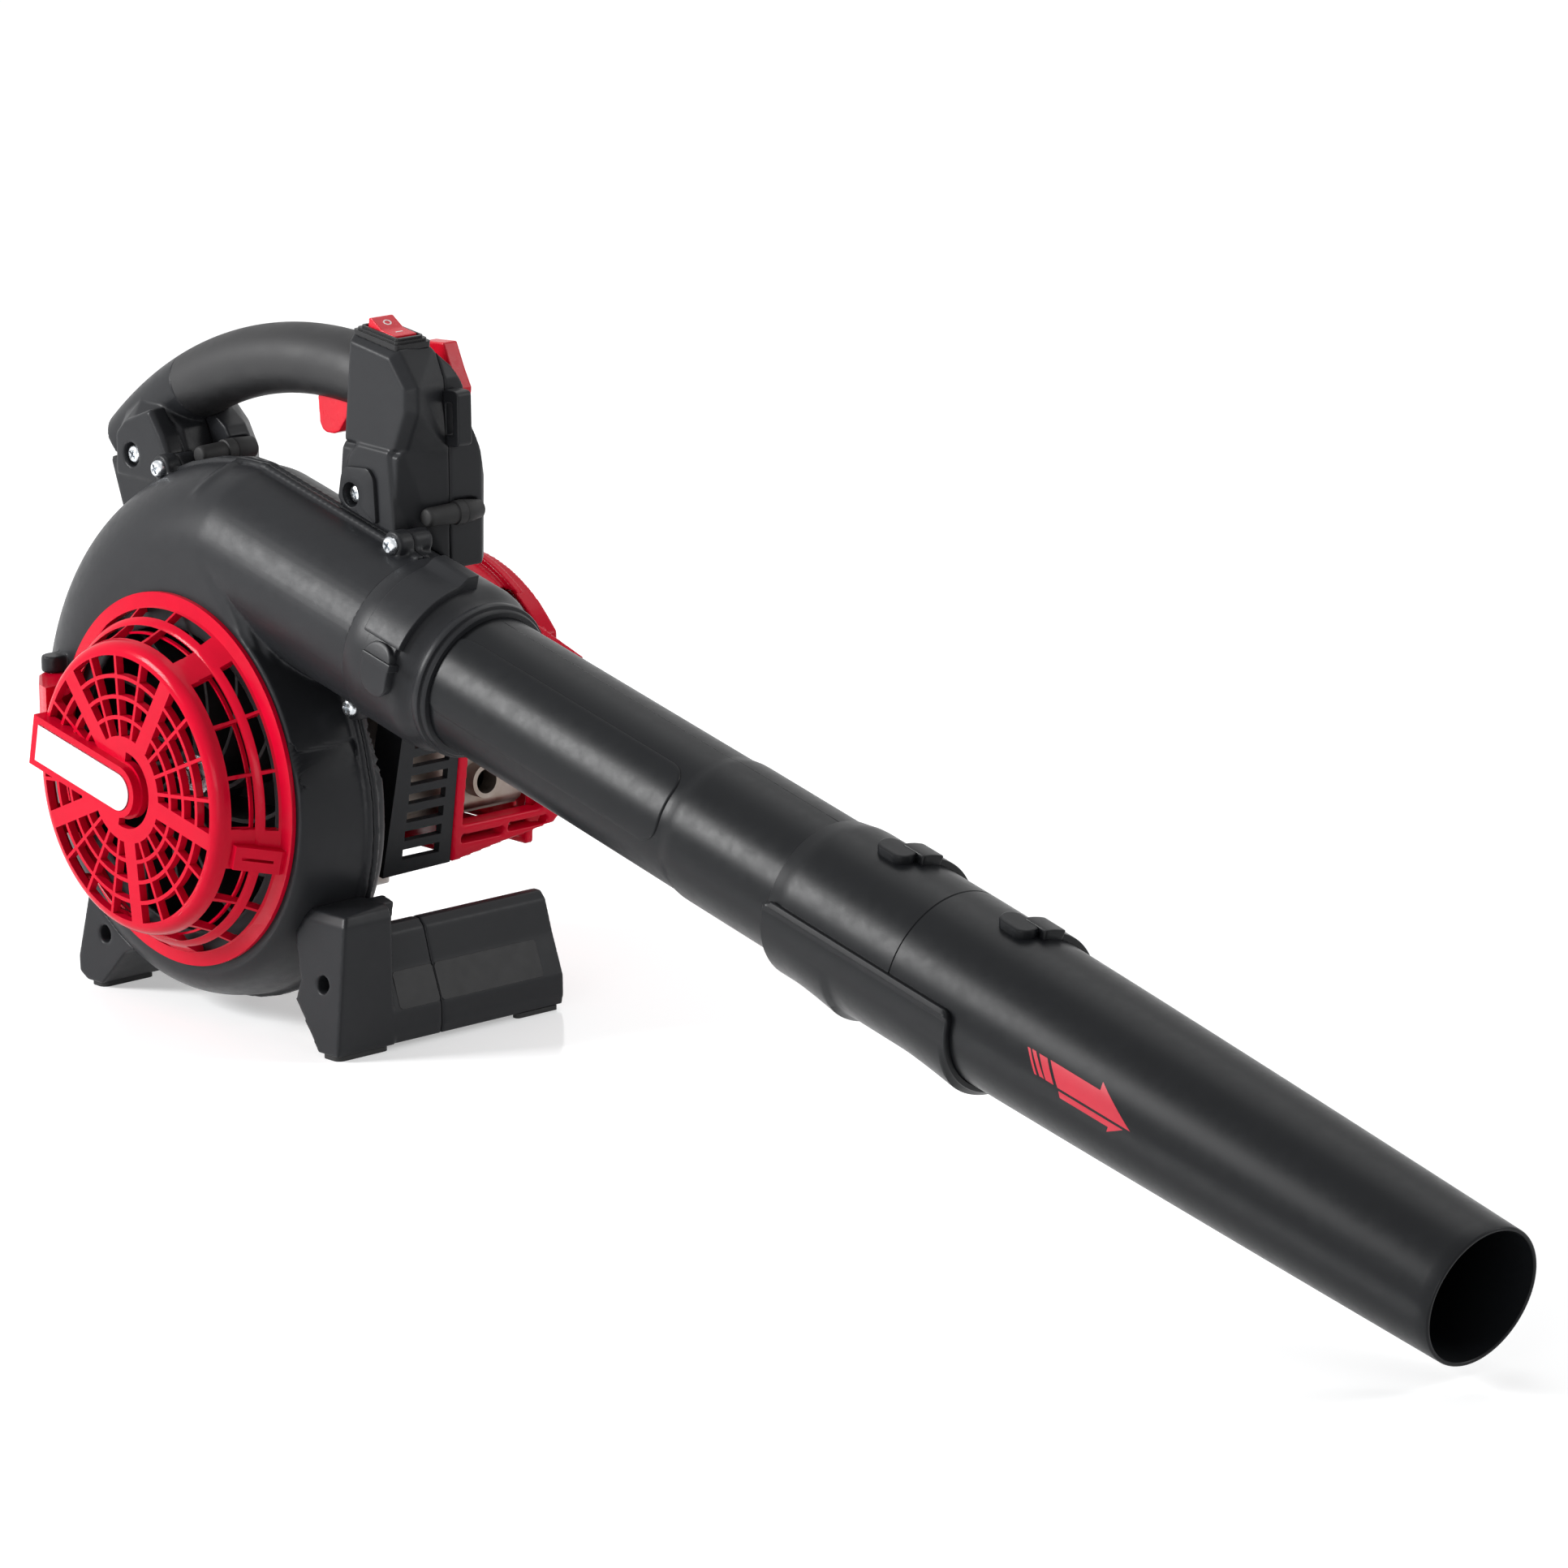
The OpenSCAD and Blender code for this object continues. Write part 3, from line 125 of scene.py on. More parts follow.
def addNoise(tree, place, scale, detail=3, rough=0.5, stretch=None):
    if stretch:
        mapping = tree.nodes.new("ShaderNodeMapping")
        mapping.inputs["Scale"].default_value = stretch
        tree.links.new(place, mapping.inputs["Vector"])
        place = mapping.outputs["Vector"]
    noise = tree.nodes.new("ShaderNodeTexNoise")
    noise.inputs["Scale"].default_value = scale
    noise.inputs["Detail"].default_value = detail
    noise.inputs["Roughness"].default_value = rough
    tree.links.new(place, noise.inputs["Vector"])
    return noise.outputs["Fac"]


def addRange(tree, value, low, high):
    node = tree.nodes.new("ShaderNodeMapRange")
    keys = ("From Min", "From Max", "To Min", "To Max")
    for key, number in zip(keys, (*noiseSpan, low, high)):
        node.inputs[key].default_value = number
    tree.links.new(value, node.inputs["Value"])
    return node.outputs["Result"]


def addColours(tree, value, colours, span=noiseSpan):
    ramp = tree.nodes.new("ShaderNodeValToRGB")
    for element, colour, position in zip(ramp.color_ramp.elements, colours, span):
        element.position = position
        element.color = (*colour, 1)
    tree.links.new(value, ramp.inputs["Fac"])
    return ramp.outputs["Color"]


# One colour, times a darker and a lighter shade
def addShades(tree, value, colour, shades):
    return addColours(tree, value, [[part * shade for part in colour] for shade in shades])


def addBump(tree, shader, height, strength, depth, under=None):
    bump = tree.nodes.new("ShaderNodeBump")
    bump.inputs["Strength"].default_value = strength
    bump.inputs["Distance"].default_value = depth * mm
    tree.links.new(height, bump.inputs["Height"])
    if under:
        tree.links.new(under, bump.inputs["Normal"])
    tree.links.new(bump.outputs["Normal"], shader.inputs["Normal"])
    return bump.outputs["Normal"]


# Moulded plastics: bite and depth are the grain of the mould, wave is its slow sink marks
plastics = {
    "shellBlack": {"colour": (0.0160, 0.0167, 0.0188), "rough": (0.34, 0.43), "grain": 1500,
                   "bite": 0.22, "depth": 0.09, "level": 0.16, "wave": 0.05},
    "tubeBlack": {"colour": (0.0085, 0.0092, 0.0105), "rough": (0.3, 0.38), "grain": 1900,
                  "bite": 0.12, "depth": 0.05, "level": 0.13, "wave": 0.04},
    "trimBlack": {"colour": (0.012, 0.012, 0.013), "rough": (0.3, 0.4), "grain": 1700,
                  "bite": 0.12, "depth": 0.05, "level": 0.22, "wave": 0.0},
    "fanBlack": {"colour": (0.010, 0.010, 0.011), "rough": (0.42, 0.55), "grain": 900,
                 "bite": 0.2, "depth": 0.08, "level": 0.35, "wave": 0.0},
    "guardRed": {"colour": (0.56, 0.002, 0.022), "rough": (0.13, 0.19), "grain": 500,
                 "bite": 0.04, "depth": 0.05, "level": 0.09, "wave": 0.05},
    "coverRed": {"colour": (0.64, 0.002, 0.024), "rough": (0.18, 0.26), "grain": 700,
                 "bite": 0.05, "depth": 0.05, "level": 0.11, "wave": 0.05},
    "keyRed": {"colour": (0.62, 0.004, 0.02), "rough": (0.24, 0.33), "grain": 900,
               "bite": 0.07, "depth": 0.05, "level": 0.22, "wave": 0.0},
    "tankWhite": {"colour": (0.62, 0.61, 0.56), "rough": (0.33, 0.45), "grain": 400,
                  "bite": 0.1, "depth": 0.08, "level": 0.4, "wave": 0.08},
    "primerRed": {"colour": (0.42, 0.03, 0.02), "rough": (0.2, 0.3), "grain": 300,
                  "bite": 0.05, "depth": 0.05, "level": 0.5, "wave": 0.0},
    "inkRed": {"colour": (0.50, 0.010, 0.030), "rough": (0.34, 0.46), "grain": 1900,
               "bite": 0.1, "depth": 0.04, "level": 0.4, "wave": 0.0},
    "inkWhite": {"colour": (0.78, 0.78, 0.77), "rough": (0.35, 0.5), "grain": 1900,
                 "bite": 0.1, "depth": 0.04, "level": 0.4, "wave": 0.0},
}
# what all of them share; a noise is (scale, detail, roughness)
moulding = {"mottle": (42, 5, 0.6), "shades": (0.94, 1.06), "scuff": (160, 4, 0.65),
            "grainDetail": 2, "sink": (26, 2), "sinkDepth": 1.2}
for name, look in plastics.items():
    tree, shader, place = startMaterial(name)
    mottle = addNoise(tree, place, *moulding["mottle"])
    tree.links.new(addShades(tree, mottle, look["colour"], moulding["shades"]),
                   shader.inputs["Base Color"])
    scuff = addNoise(tree, place, *moulding["scuff"])
    tree.links.new(addRange(tree, scuff, *look["rough"]), shader.inputs["Roughness"])
    shader.inputs["Specular IOR Level"].default_value = look["level"]
    grain = addNoise(tree, place, look["grain"], moulding["grainDetail"])
    normal = addBump(tree, shader, grain, look["bite"], look["depth"])
    if look["wave"]:
        sink = addNoise(tree, place, *moulding["sink"])
        addBump(tree, shader, sink, look["wave"], moulding["sinkDepth"], normal)

rubbers = {
    "gripRubber": {"colour": (0.0125, 0.0125, 0.0135), "rough": (0.46, 0.6), "grain": 1300},
    "softRubber": {"colour": (0.012, 0.012, 0.0125), "rough": (0.55, 0.7), "grain": 700},
}
rubberSkin = {"cloud": (60, 4), "shades": (0.85, 1.2), "level": 0.35, "bite": 0.3,
              "depth": 0.12}
for name, look in rubbers.items():
    tree, shader, place = startMaterial(name)
    cloud = addNoise(tree, place, *rubberSkin["cloud"])
    tree.links.new(addShades(tree, cloud, look["colour"], rubberSkin["shades"]),
                   shader.inputs["Base Color"])
    tree.links.new(addRange(tree, cloud, *look["rough"]), shader.inputs["Roughness"])
    shader.inputs["Specular IOR Level"].default_value = rubberSkin["level"]
    grain = addNoise(tree, place, look["grain"])
    addBump(tree, shader, grain, rubberSkin["bite"], rubberSkin["depth"])

metals = {
    "zinc": {"colours": [(0.52, 0.55, 0.58), (0.74, 0.76, 0.78)], "rough": (0.2, 0.36),
             "scale": 380, "stretch": None, "bite": 0.12, "depth": 0.05},
    "turnedSteel": {"colours": [(0.42, 0.42, 0.43), (0.62, 0.62, 0.63)],
                    "rough": (0.2, 0.34), "scale": 420, "stretch": (1, 9, 1), "bite": 0.15,
                    "depth": 0.04},
    "castAlloy": {"colours": [(0.34, 0.34, 0.35), (0.55, 0.55, 0.56)],
                  "rough": (0.42, 0.62), "scale": 620, "stretch": None, "bite": 0.5,
                  "depth": 0.18},
    "mufflerSteel": {"colours": [(0.20, 0.15, 0.12), (0.40, 0.36, 0.33)],
                     "rough": (0.4, 0.62), "scale": 34, "stretch": None, "bite": 0.2,
                     "depth": 0.12},
    "plateMetal": {"colours": [(0.56, 0.58, 0.61), (0.72, 0.74, 0.77)],
                   "rough": (0.3, 0.42), "scale": 900, "stretch": (1, 1, 22), "bite": 0.06,
                   "depth": 0.03},
}
metalNoise = (4, 0.6)        # detail and roughness
for name, look in metals.items():
    tree, shader, place = startMaterial(name)
    shader.inputs["Metallic"].default_value = 1
    noise = addNoise(tree, place, look["scale"], *metalNoise, look["stretch"])
    tree.links.new(addColours(tree, noise, look["colours"]), shader.inputs["Base Color"])
    tree.links.new(addRange(tree, noise, *look["rough"]), shader.inputs["Roughness"])
    addBump(tree, shader, noise, look["bite"], look["depth"])

# open-cell foam of the air filter
foam = {"scale": 900, "colours": [(0.03, 0.03, 0.035), (0.11, 0.11, 0.12)],
        "span": (0.1, 0.6), "rough": 0.9, "bite": 0.8, "depth": 0.4}
tree, shader, place = startMaterial("filterFoam")
cells = tree.nodes.new("ShaderNodeTexVoronoi")
cells.inputs["Scale"].default_value = foam["scale"]
tree.links.new(place, cells.inputs["Vector"])
tree.links.new(addColours(tree, cells.outputs["Distance"], foam["colours"], foam["span"]),
               shader.inputs["Base Color"])
shader.inputs["Roughness"].default_value = foam["rough"]
addBump(tree, shader, cells.outputs["Distance"], foam["bite"], foam["depth"])
print("materials made:", len(materials))

# How the solids are finished: the material, and the width of the broken edges
finishes = {
    "guard_plate": ("plateMetal", 0.4), "guard_hinge_pin": ("turnedSteel", 0.4),
    "impeller": ("fanBlack", 0.5), "impeller_nut": ("zinc", 0.5),
    "crankshaft": ("turnedSteel", 0.5), "outlet_collar": ("shellBlack", 0.8),
    "tube_first": ("tubeBlack", 0.4), "tube_nozzle": ("tubeBlack", 0.6),
    "tube_latch": ("shellBlack", 0.7), "foot_pads": ("softRubber", 0.6),
    "grip_sleeve": ("gripRubber", 0.9), "trigger_pin": ("turnedSteel", 0.3),
    "switch_bezel": ("trimBlack", 0.4), "strap_loop": ("shellBlack", 1.0),
    "buffers": ("softRubber", 0.8), "crankcase": ("castAlloy", 0.7),
    "crank_bearings": ("turnedSteel", 0.5), "engine_cylinder": ("castAlloy", 0.5),
    "spark_plug": ("zinc", 0.4), "plug_boot": ("softRubber", 0.6),
    "muffler": ("mufflerSteel", 0.7), "muffler_gasket": ("mufflerSteel", 0.1),
    "heat_shield": ("shellBlack", 0.5), "engine_cover": ("coverRed", 0.8),
    "flywheel": ("castAlloy", 0.5), "ignition_coil": ("fanBlack", 0.6),
    "starter_pulley": ("fanBlack", 0.4), "starter_housing": ("coverRed", 0.8),
    "starter_handle": ("gripRubber", 0.5), "intake_insulator": ("fanBlack", 0.6),
    "carburettor": ("castAlloy", 0.6), "throttle_arm": ("zinc", 0.3),
    "filter_base": ("trimBlack", 0.6), "filter_element": ("filterFoam", 0.8),
    "filter_cover": ("shellBlack", 1.0), "choke_lever": ("keyRed", 0.5),
    "primer_bulb": ("primerRed", 0.4), "fuel_tank": ("tankWhite", 1.0),
    "fuel_cap": ("trimBlack", 0.6), "housing_screws": ("zinc", 0.3),
    "handle_screws": ("zinc", 0.3), "engine_screws": ("zinc", 0.3),
    "volute_front": ("shellBlack", 0.6), "volute_rear": ("shellBlack", 0.6),
    "intake_guard": ("guardRed", 0.4), "front_foot": ("shellBlack", 0.8),
    "front_foot_end": ("shellBlack", 0.8), "rear_foot": ("shellBlack", 0.8),
    "rear_foot_end": ("shellBlack", 0.8), "handle_near": ("shellBlack", 0.8),
    "handle_far": ("shellBlack", 0.8), "trigger": ("keyRed", 0.5),
    "cruise_lever": ("keyRed", 0.5), "stop_switch": ("keyRed", 0.4),
}
# the distances in it, weld, doubles and thin, are in metres
meshSet = {"weld": 0.00001, "doubles": 0.000004, "thin": 0.000002, "crease": 34,
           "bevelCuts": 2, "bevelAngle": 33, "normalWeight": 60, "easeFactor": 0.5}


def addWeld(thing):
    thing.modifiers.new("weld", "WELD").merge_threshold = meshSet["weld"]


def breakEdges(thing, width):
    bevel = thing.modifiers.new("brokenEdges", "BEVEL")
    bevel.width = width * mm
    bevel.segments = meshSet["bevelCuts"]
    bevel.limit_method = "ANGLE"
    bevel.angle_limit = math.radians(meshSet["bevelAngle"])
    bevel.use_clamp_overlap = True
    thing.modifiers.new("normals", "WEIGHTED_NORMAL").weight = meshSet["normalWeight"]


for node, (finish, edge) in finishes.items():
    solid = frame["nodes"][node]
    solid.data.materials.clear()
    solid.data.materials.append(materials[finish])
    addWeld(solid)
    breakEdges(solid, edge)
bare = set(frame["nodes"]) - set(finishes)
print("solids finished:", len(finishes), "without a finish:", sorted(bare))

# Each new piece takes its body from the node that it belongs to, and one material slot with the
# finish that is given
nodeBody = {}
for body, members in frame["record"]["behaviour"]["bodies"].items():
    for node in members:
        nodeBody[node] = body


def addPiece(name, mesh, finish, node, replaces=()):
    mesh.materials.clear()
    mesh.materials.append(materials[finish])
    piece = addObject(name, mesh)
    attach(piece, nodeBody[node])
    if replaces:
        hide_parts(*replaces)
    return piece


def meshFrom(name, points, faces):
    mesh = bpy.data.meshes.new(name)
    mesh.from_pydata([tuple(p) for p in points], [], faces)
    mesh.update()
    return mesh


# Faces are turned outwards, and edges steeper than the crease stay sharp
def settle(mesh, crease=meshSet["crease"]):
    bm = bmesh.new()
    bm.from_mesh(mesh)
    bmesh.ops.remove_doubles(bm, verts=bm.verts, dist=meshSet["doubles"])
    bmesh.ops.dissolve_degenerate(bm, edges=bm.edges, dist=meshSet["thin"])
    bmesh.ops.recalc_face_normals(bm, faces=bm.faces)
    bm.to_mesh(mesh)
    bm.free()
    mesh.shade_smooth()
    mesh.set_sharp_from_angle(angle=math.radians(crease))
    return mesh


# Lays quads over rows of points; each row closes on itself, and so may the rows
def quadsOver(rows, count, closed):
    faces = []
    for i in range(rows if closed else rows - 1):
        for j in range(count):
            a, b = i * count + j, i * count + (j + 1) % count
            c, d = (i + 1) % rows * count + j, (i + 1) % rows * count + (j + 1) % count
            faces.append((a, b, d, c))
    return faces


# A solid form over rows of points that go round it, with a flat face at each end
def loftMesh(name, points, count, crease=meshSet["crease"]):
    rows = len(points) // count
    last = (rows - 1) * count
    ends = [tuple(range(count - 1, -1, -1)), tuple(last + k for k in range(count))]
    return settle(meshFrom(name, points, quadsOver(rows, count, False) + ends), crease)


# A tube with its wall, turned round the blow tube's line from rows of (s, radius)
def tubeMesh(name, outside, inside, turns, lift=None):
    points = []
    for s, radius in outside:
        for a in turns:
            points.append(onTube(s, a, radius + (lift(s, a) if lift else 0)))
    for s, radius in reversed(inside):
        for a in turns:
            points.append(onTube(s, a, radius))
    rows = len(outside) + len(inside)
    return settle(meshFrom(name, points, quadsOver(rows, len(turns), True)))


evenTurns = range(0, 360, 2)         # all the way round


# The radius at s on a line of (s, radius)
def between(line, s):
    for (s0, r0), (s1, r1) in zip(line, line[1:]):
        if s <= s1:
            return r0 + (r1 - r0) * (s - s0) / (s1 - s0)
    return line[-1][1]


# Adds stations to a line of (s, radius), so that no step is longer than the one given
def finer(line, step):
    rows = [line[0]]
    for (s0, r0), (s1, r1) in zip(line, line[1:]):
        cuts = max(1, math.ceil((s1 - s0) / step))
        rows += [(s0 + (s1 - s0) * k / cuts, r0 + (r1 - r0) * k / cuts)
                 for k in range(1, cuts + 1)]
    return rows


padGrid = {"cell": 3, "leastBend": 0.05, "stripSunk": 0.6, "stripCells": 8}


# A raised pad with round corners. put(u, v, h) gives a point's place. Its look has the
# corner, rims as (inset, height) from the foot up, how deep it is sunk, and the cells
# across it and round each corner.
def padMesh(name, put, length, width, look, lift=None):
    corner, (columns, arcs) = look["corner"], look["cells"]
    points, faces = [], []

    def grid(inset, height):
        half, bend = length / 2 - inset, max(corner - inset, padGrid["leastBend"])
        side = width / 2 - inset
        rows = []
        for k in range(arcs + 1):
            a = math.pi / 2 * (1 - k / arcs)
            rows.append((half - bend + bend * math.sin(a), side - bend + bend * math.cos(a)))
        middle = max(2, math.ceil((length / 2 - corner) * 2 / padGrid["cell"]))
        straight = [((half - bend) * (1 - 2 * k / middle), side) for k in range(1, middle)]
        rows = rows + straight + [(-u, w) for u, w in reversed(rows)]
        start = len(points)
        for u, w in rows:
            for j in range(columns + 1):
                v = w * (2 * j / columns - 1)
                raised = lift(u, v) if lift and height > 0 else 0
                points.append(put(u, v, height + raised))
        return start, len(rows)

    def rimOf(start, rows):
        n = columns + 1
        loop = [start + j for j in range(n)]
        loop += [start + i * n + columns for i in range(1, rows)]
        loop += [start + (rows - 1) * n + j for j in range(columns - 1, -1, -1)]
        return loop + [start + i * n for i in range(rows - 2, 0, -1)]

    levels = [(look["rims"][0][0], -look["sunk"])] + list(look["rims"])
    loops = []
    for k, (inset, height) in enumerate(levels):
        start, rows = grid(inset, height)
        loops.append(rimOf(start, rows))
        if k in (0, len(levels) - 1):
            for i in range(rows - 1):
                for j in range(columns):
                    a = start + i * (columns + 1) + j
                    faces.append((a, a + 1, a + columns + 2, a + columns + 1))
    for low, high in zip(loops, loops[1:]):
        for k in range(len(low)):
            m = (k + 1) % len(low)
            faces.append((low[k], low[m], high[m], high[k]))
    used = sorted({i for face in faces for i in face})
    order = {old: new for new, old in enumerate(used)}
    return settle(meshFrom(name, [points[i] for i in used],
                           [tuple(order[i] for i in face) for face in faces]))


# Lays a pad round the tube's line: v is measured at the radius mean, and lies(s) gives
# the radius of what is under the pad
def roundTube(middle, turn, mean, lies):
    def put(u, v, h):
        return onTube(middle + u, turn + math.degrees(v / mean), lies(middle + u) + h)
    return put


# A pad on the tube between two stations and two turns
def tubePad(name, ends, turns, mean, lies, look, lift=None):
    put = roundTube(sum(ends) / 2, sum(turns) / 2, mean, lies)
    width = math.radians(turns[1] - turns[0]) * mean
    return padMesh(name, put, ends[1] - ends[0], width, look, lift)


# Rims that go up from the first height and turn into the top by a soft edge
def softRims(height, soft, first=0.05):
    turned = soft * 0.3
    return [(0, first), (0, height - soft), (turned, height - turned), (soft, height)]


# A strip with a soft edge round the tube's line; cell is the size of its cells across
def stripMesh(name, ends, look, mean, lies, cell, arcs, lift=None):
    width = math.radians(look["turns"][1] - look["turns"][0]) * mean
    columns = max(padGrid["stripCells"], round(width / cell))
    form = {"corner": look["corner"], "rims": softRims(look["height"], look["soft"]),
            "sunk": padGrid["stripSunk"], "cells": (columns, arcs)}
    return tubePad(name, ends, look["turns"], mean, lies, form, lift)


def joined(name, meshes):
    bm = bmesh.new()
    for mesh in meshes:
        bm.from_mesh(mesh)
        bpy.data.meshes.remove(mesh)
    whole = bpy.data.meshes.new(name)
    bm.to_mesh(whole)
    bm.free()
    return whole


# The mesh of an object with its modifiers carried out
def finalMesh(thing):
    graph = bpy.context.evaluated_depsgraph_get()
    return bpy.data.meshes.new_from_object(thing.evaluated_get(graph))


def addEase(thing, rounds, group=""):
    ease = thing.modifiers.new("ease", "SMOOTH")
    ease.factor = meshSet["easeFactor"]
    ease.iterations = rounds
    ease.vertex_group = group


def pointsOf(mesh):
    numbers = np.empty(len(mesh.vertices) * 3)
    mesh.vertices.foreach_get("co", numbers)
    return numbers.reshape(-1, 3)


# Where the spiral turns into the duct: the middle of the blend along the tube, how far it
# reaches and fades, how far it stays from the parting plane, and what it leaves alone
ductBlend = {"middle": 8, "reach": 26, "fade": 10, "clear": 8, "clearFade": 5, "inside": 34,
             "below": -8, "levels": 4, "rounds": 60}


def blendDuct(work):
    p = pointsOf(work.data) - np.array(tubeRoot)
    s = p @ np.array(tubeAlong) / mm
    out = np.hypot(p @ np.array(tubeDown), p[:, 1]) / mm
    up = -(p @ np.array(tubeDown)) / mm
    away = np.abs(s - ductBlend["middle"])
    share = np.clip((ductBlend["reach"] - away) / ductBlend["fade"], 0, 1)
    share *= np.clip((np.abs(p[:, 1]) / mm - ductBlend["clear"]) / ductBlend["clearFade"], 0, 1)
    share *= (out > ductBlend["inside"]) & (up > ductBlend["below"])
    group = work.vertex_groups.new(name="ductBlend")
    levels = ductBlend["levels"]
    for step in range(1, levels + 1):
        chosen = np.nonzero(np.abs(share - step / levels) <= 0.5 / levels)[0]
        group.add([int(k) for k in chosen], step / levels, "REPLACE")
    addEase(work, ductBlend["rounds"], group.name)


# A copy of a solid, remeshed and eased so that its edges are moulded round
def mouldedMesh(node, voxel, rounds, fit=None, filler=None):
    mesh = frame["nodes"][node].data.copy()
    if filler:
        mesh = joined(node + "Filled", [mesh, filler])
    work = addObject("work", mesh)
    addWeld(work)
    remesh = work.modifiers.new("remesh", "REMESH")
    remesh.mode = "VOXEL"
    remesh.voxel_size = voxel * mm
    if fit:
        fitted = finalMesh(work)
        fit(fitted)
        work.modifiers.clear()
        work.data = fitted
        blendDuct(work)
    addEase(work, rounds)
    done = finalMesh(work)
    bpy.data.objects.remove(work)
    done.name = node + "Moulded"
    done.shade_smooth()
    return done


# The curve of the housing. A late rise is (from turn, over, rise, power).
spiral = {
    "tongue": 20, "turn": 300,                   # where it starts, and how far it turns
    "start": 97, "rise": 0.205,                  # outer radius, and its rise for a degree
    "lateRise": (240, 60, 2, 2),
    "flat": 99, "flatRise": (225, 75, 18, 1.6), "band": 0.5,     # edge of the flat side
    "frontDepth": 43, "rearDepth": (9, 34, 1.2),
    "flange": 4.8, "catch": 1.0,                 # left alone, and how near a point has to be
}
tiny = 1e-6              # keeps divisions from nothing


def lateRise(t, row):
    start, over, rise, power = row
    return rise * (np.maximum(0, t - start) / over) ** power


# Brings the remeshed shell onto the true curve of the spiral; side is -1 for the front
def fitShell(side):
    def fit(mesh):
        p = pointsOf(mesh)
        x = p[:, 0] / mm - shaftX / mm
        y = p[:, 1] / mm - partingY / mm
        z = p[:, 2] / mm - shaftZ
        r = np.hypot(x, z)
        t = (spiral["tongue"] - np.degrees(np.arctan2(z, x))) % 360
        inside = t <= spiral["turn"]
        t = np.minimum(t, spiral["turn"])
        edge = spiral["start"] + spiral["rise"] * t + lateRise(t, spiral["lateRise"])
        level = np.minimum(spiral["flat"] + lateRise(t, spiral["flatRise"]),
                           edge - spiral["band"])
        depth = np.full(len(p), float(spiral["frontDepth"]))
        if side > 0:
            least, more, power = spiral["rearDepth"]
            depth = least + more * (t / spiral["turn"]) ** power
        u = (r - level) / (edge - level)
        v = side * y / depth
        reach = np.hypot(u, v)
        steep = np.hypot(u / (edge - level), v / depth)
        away = np.abs(reach - 1) * reach / np.maximum(steep, tiny)
        near = inside & (u > 0) & (side * y > spiral["flange"]) & (away < spiral["catch"])
        k = np.where(near, 1 / np.maximum(reach, tiny), 1)
        newR = np.where(near, level + u * k * (edge - level), r)
        scale = newR / np.maximum(r, tiny)
        p[:, 0] = (x * scale) * mm + shaftX
        p[:, 2] = (z * scale + shaftZ) * mm
        p[:, 1] = np.where(near, side * v * k * depth, y) * mm + partingY
        mesh.vertices.foreach_set("co", p.reshape(-1))
        mesh.update()
    return fit


# Backs the thin edge of a shell where the duct leaves the spiral, on one side of it
ductBacking = {"ends": (-4, 22), "radius": 40, "lies": 40.3, "corner": 0.3,
               "rims": [(0, 0.05), (0.1, 0.1)], "sunk": 2.2, "cells": (60, 1)}


def ductFiller(turn):
    return tubePad("filler", ductBacking["ends"], (turn - 90, turn + 90),
                   ductBacking["radius"], lambda s: ductBacking["lies"], ductBacking)


# voxel size and rounds of easing, and for the shells what else is done
moulded = {
    "volute_front": (1.0, 4, fitShell(-1), ductFiller(-90)),
    "volute_rear": (1.2, 3, fitShell(1), ductFiller(90)),
    "handle_near": (0.8, 7), "handle_far": (0.8, 7), "front_foot": (0.9, 5),
    "front_foot_end": (0.9, 5), "rear_foot": (0.9, 5), "rear_foot_end": (0.9, 5),
    "trigger": (0.5, 6), "cruise_lever": (0.5, 6), "stop_switch": (0.4, 4),
    "engine_cover": (1.0, 2), "starter_housing": (1.0, 2), "strap_loop": (0.5, 5),
    "fuel_tank": (1.1, 6), "filter_cover": (1.0, 4),
}
for node, look in moulded.items():
    addPiece(node + "Moulded", mouldedMesh(node, *look), finishes[node][0], node, [node])
print("moulded pieces made:", len(moulded))

# Intake guard: its rim is open to the side between the spokes, so that the fan shows
guardWindows = {
    "seat": -43, "inner": 70, "firstSpoke": 59, "sectors": 5, "slots": 3,
    "halfSpoke": 6.3, "ribsFrom": 6, "halfRib": 0.75, "least": 2, "cuts": 6,
    "bands": [(2.6, 10.4, 88), (14.7, 25.2, 101)],       # low, high, outer radius
    "kept": [(150, 175), (337, 349)],        # behind the hinge's arm and the snap tab
    "brokenEdge": 0.45,
}


def windowMesh(a0, a1, low, high, reach):
    cuts, inner = guardWindows["cuts"], guardWindows["inner"]
    points = []
    for k in range(cuts + 1):
        a = math.radians(a0 + (a1 - a0) * k / cuts)
        for r, h in ((inner, low), (reach, low), (reach, high), (inner, high)):
            points.append(at(r * math.cos(a), guardWindows["seat"] - h,
                             shaftZ + r * math.sin(a)))
    return loftMesh("window", points, 4)


# The turns from and to which each window goes, as the ribs and what is kept allow
def windowTurns():
    sector = 360 / guardWindows["sectors"]
    spoke, first, rib, slots = (guardWindows[key] for key in ("halfSpoke", "ribsFrom",
                                                              "halfRib", "slots"))
    pitch = (sector - 2 * first) / slots
    for k in range(guardWindows["sectors"]):
        start = guardWindows["firstSpoke"] + k * sector
        for j in range(slots):
            a0 = start + (spoke if j == 0 else first + j * pitch + rib)
            a1 = start + (sector - spoke if j == slots - 1 else first + (j + 1) * pitch - rib)
            for low, high in guardWindows["kept"]:
                if a0 < high and a1 > high:
                    a0 = high
                elif a1 > low and a0 < low:
                    a1 = low
                elif a0 >= low and a1 <= high:
                    a1 = a0
            if a1 - a0 > guardWindows["least"]:
                yield a0, a1


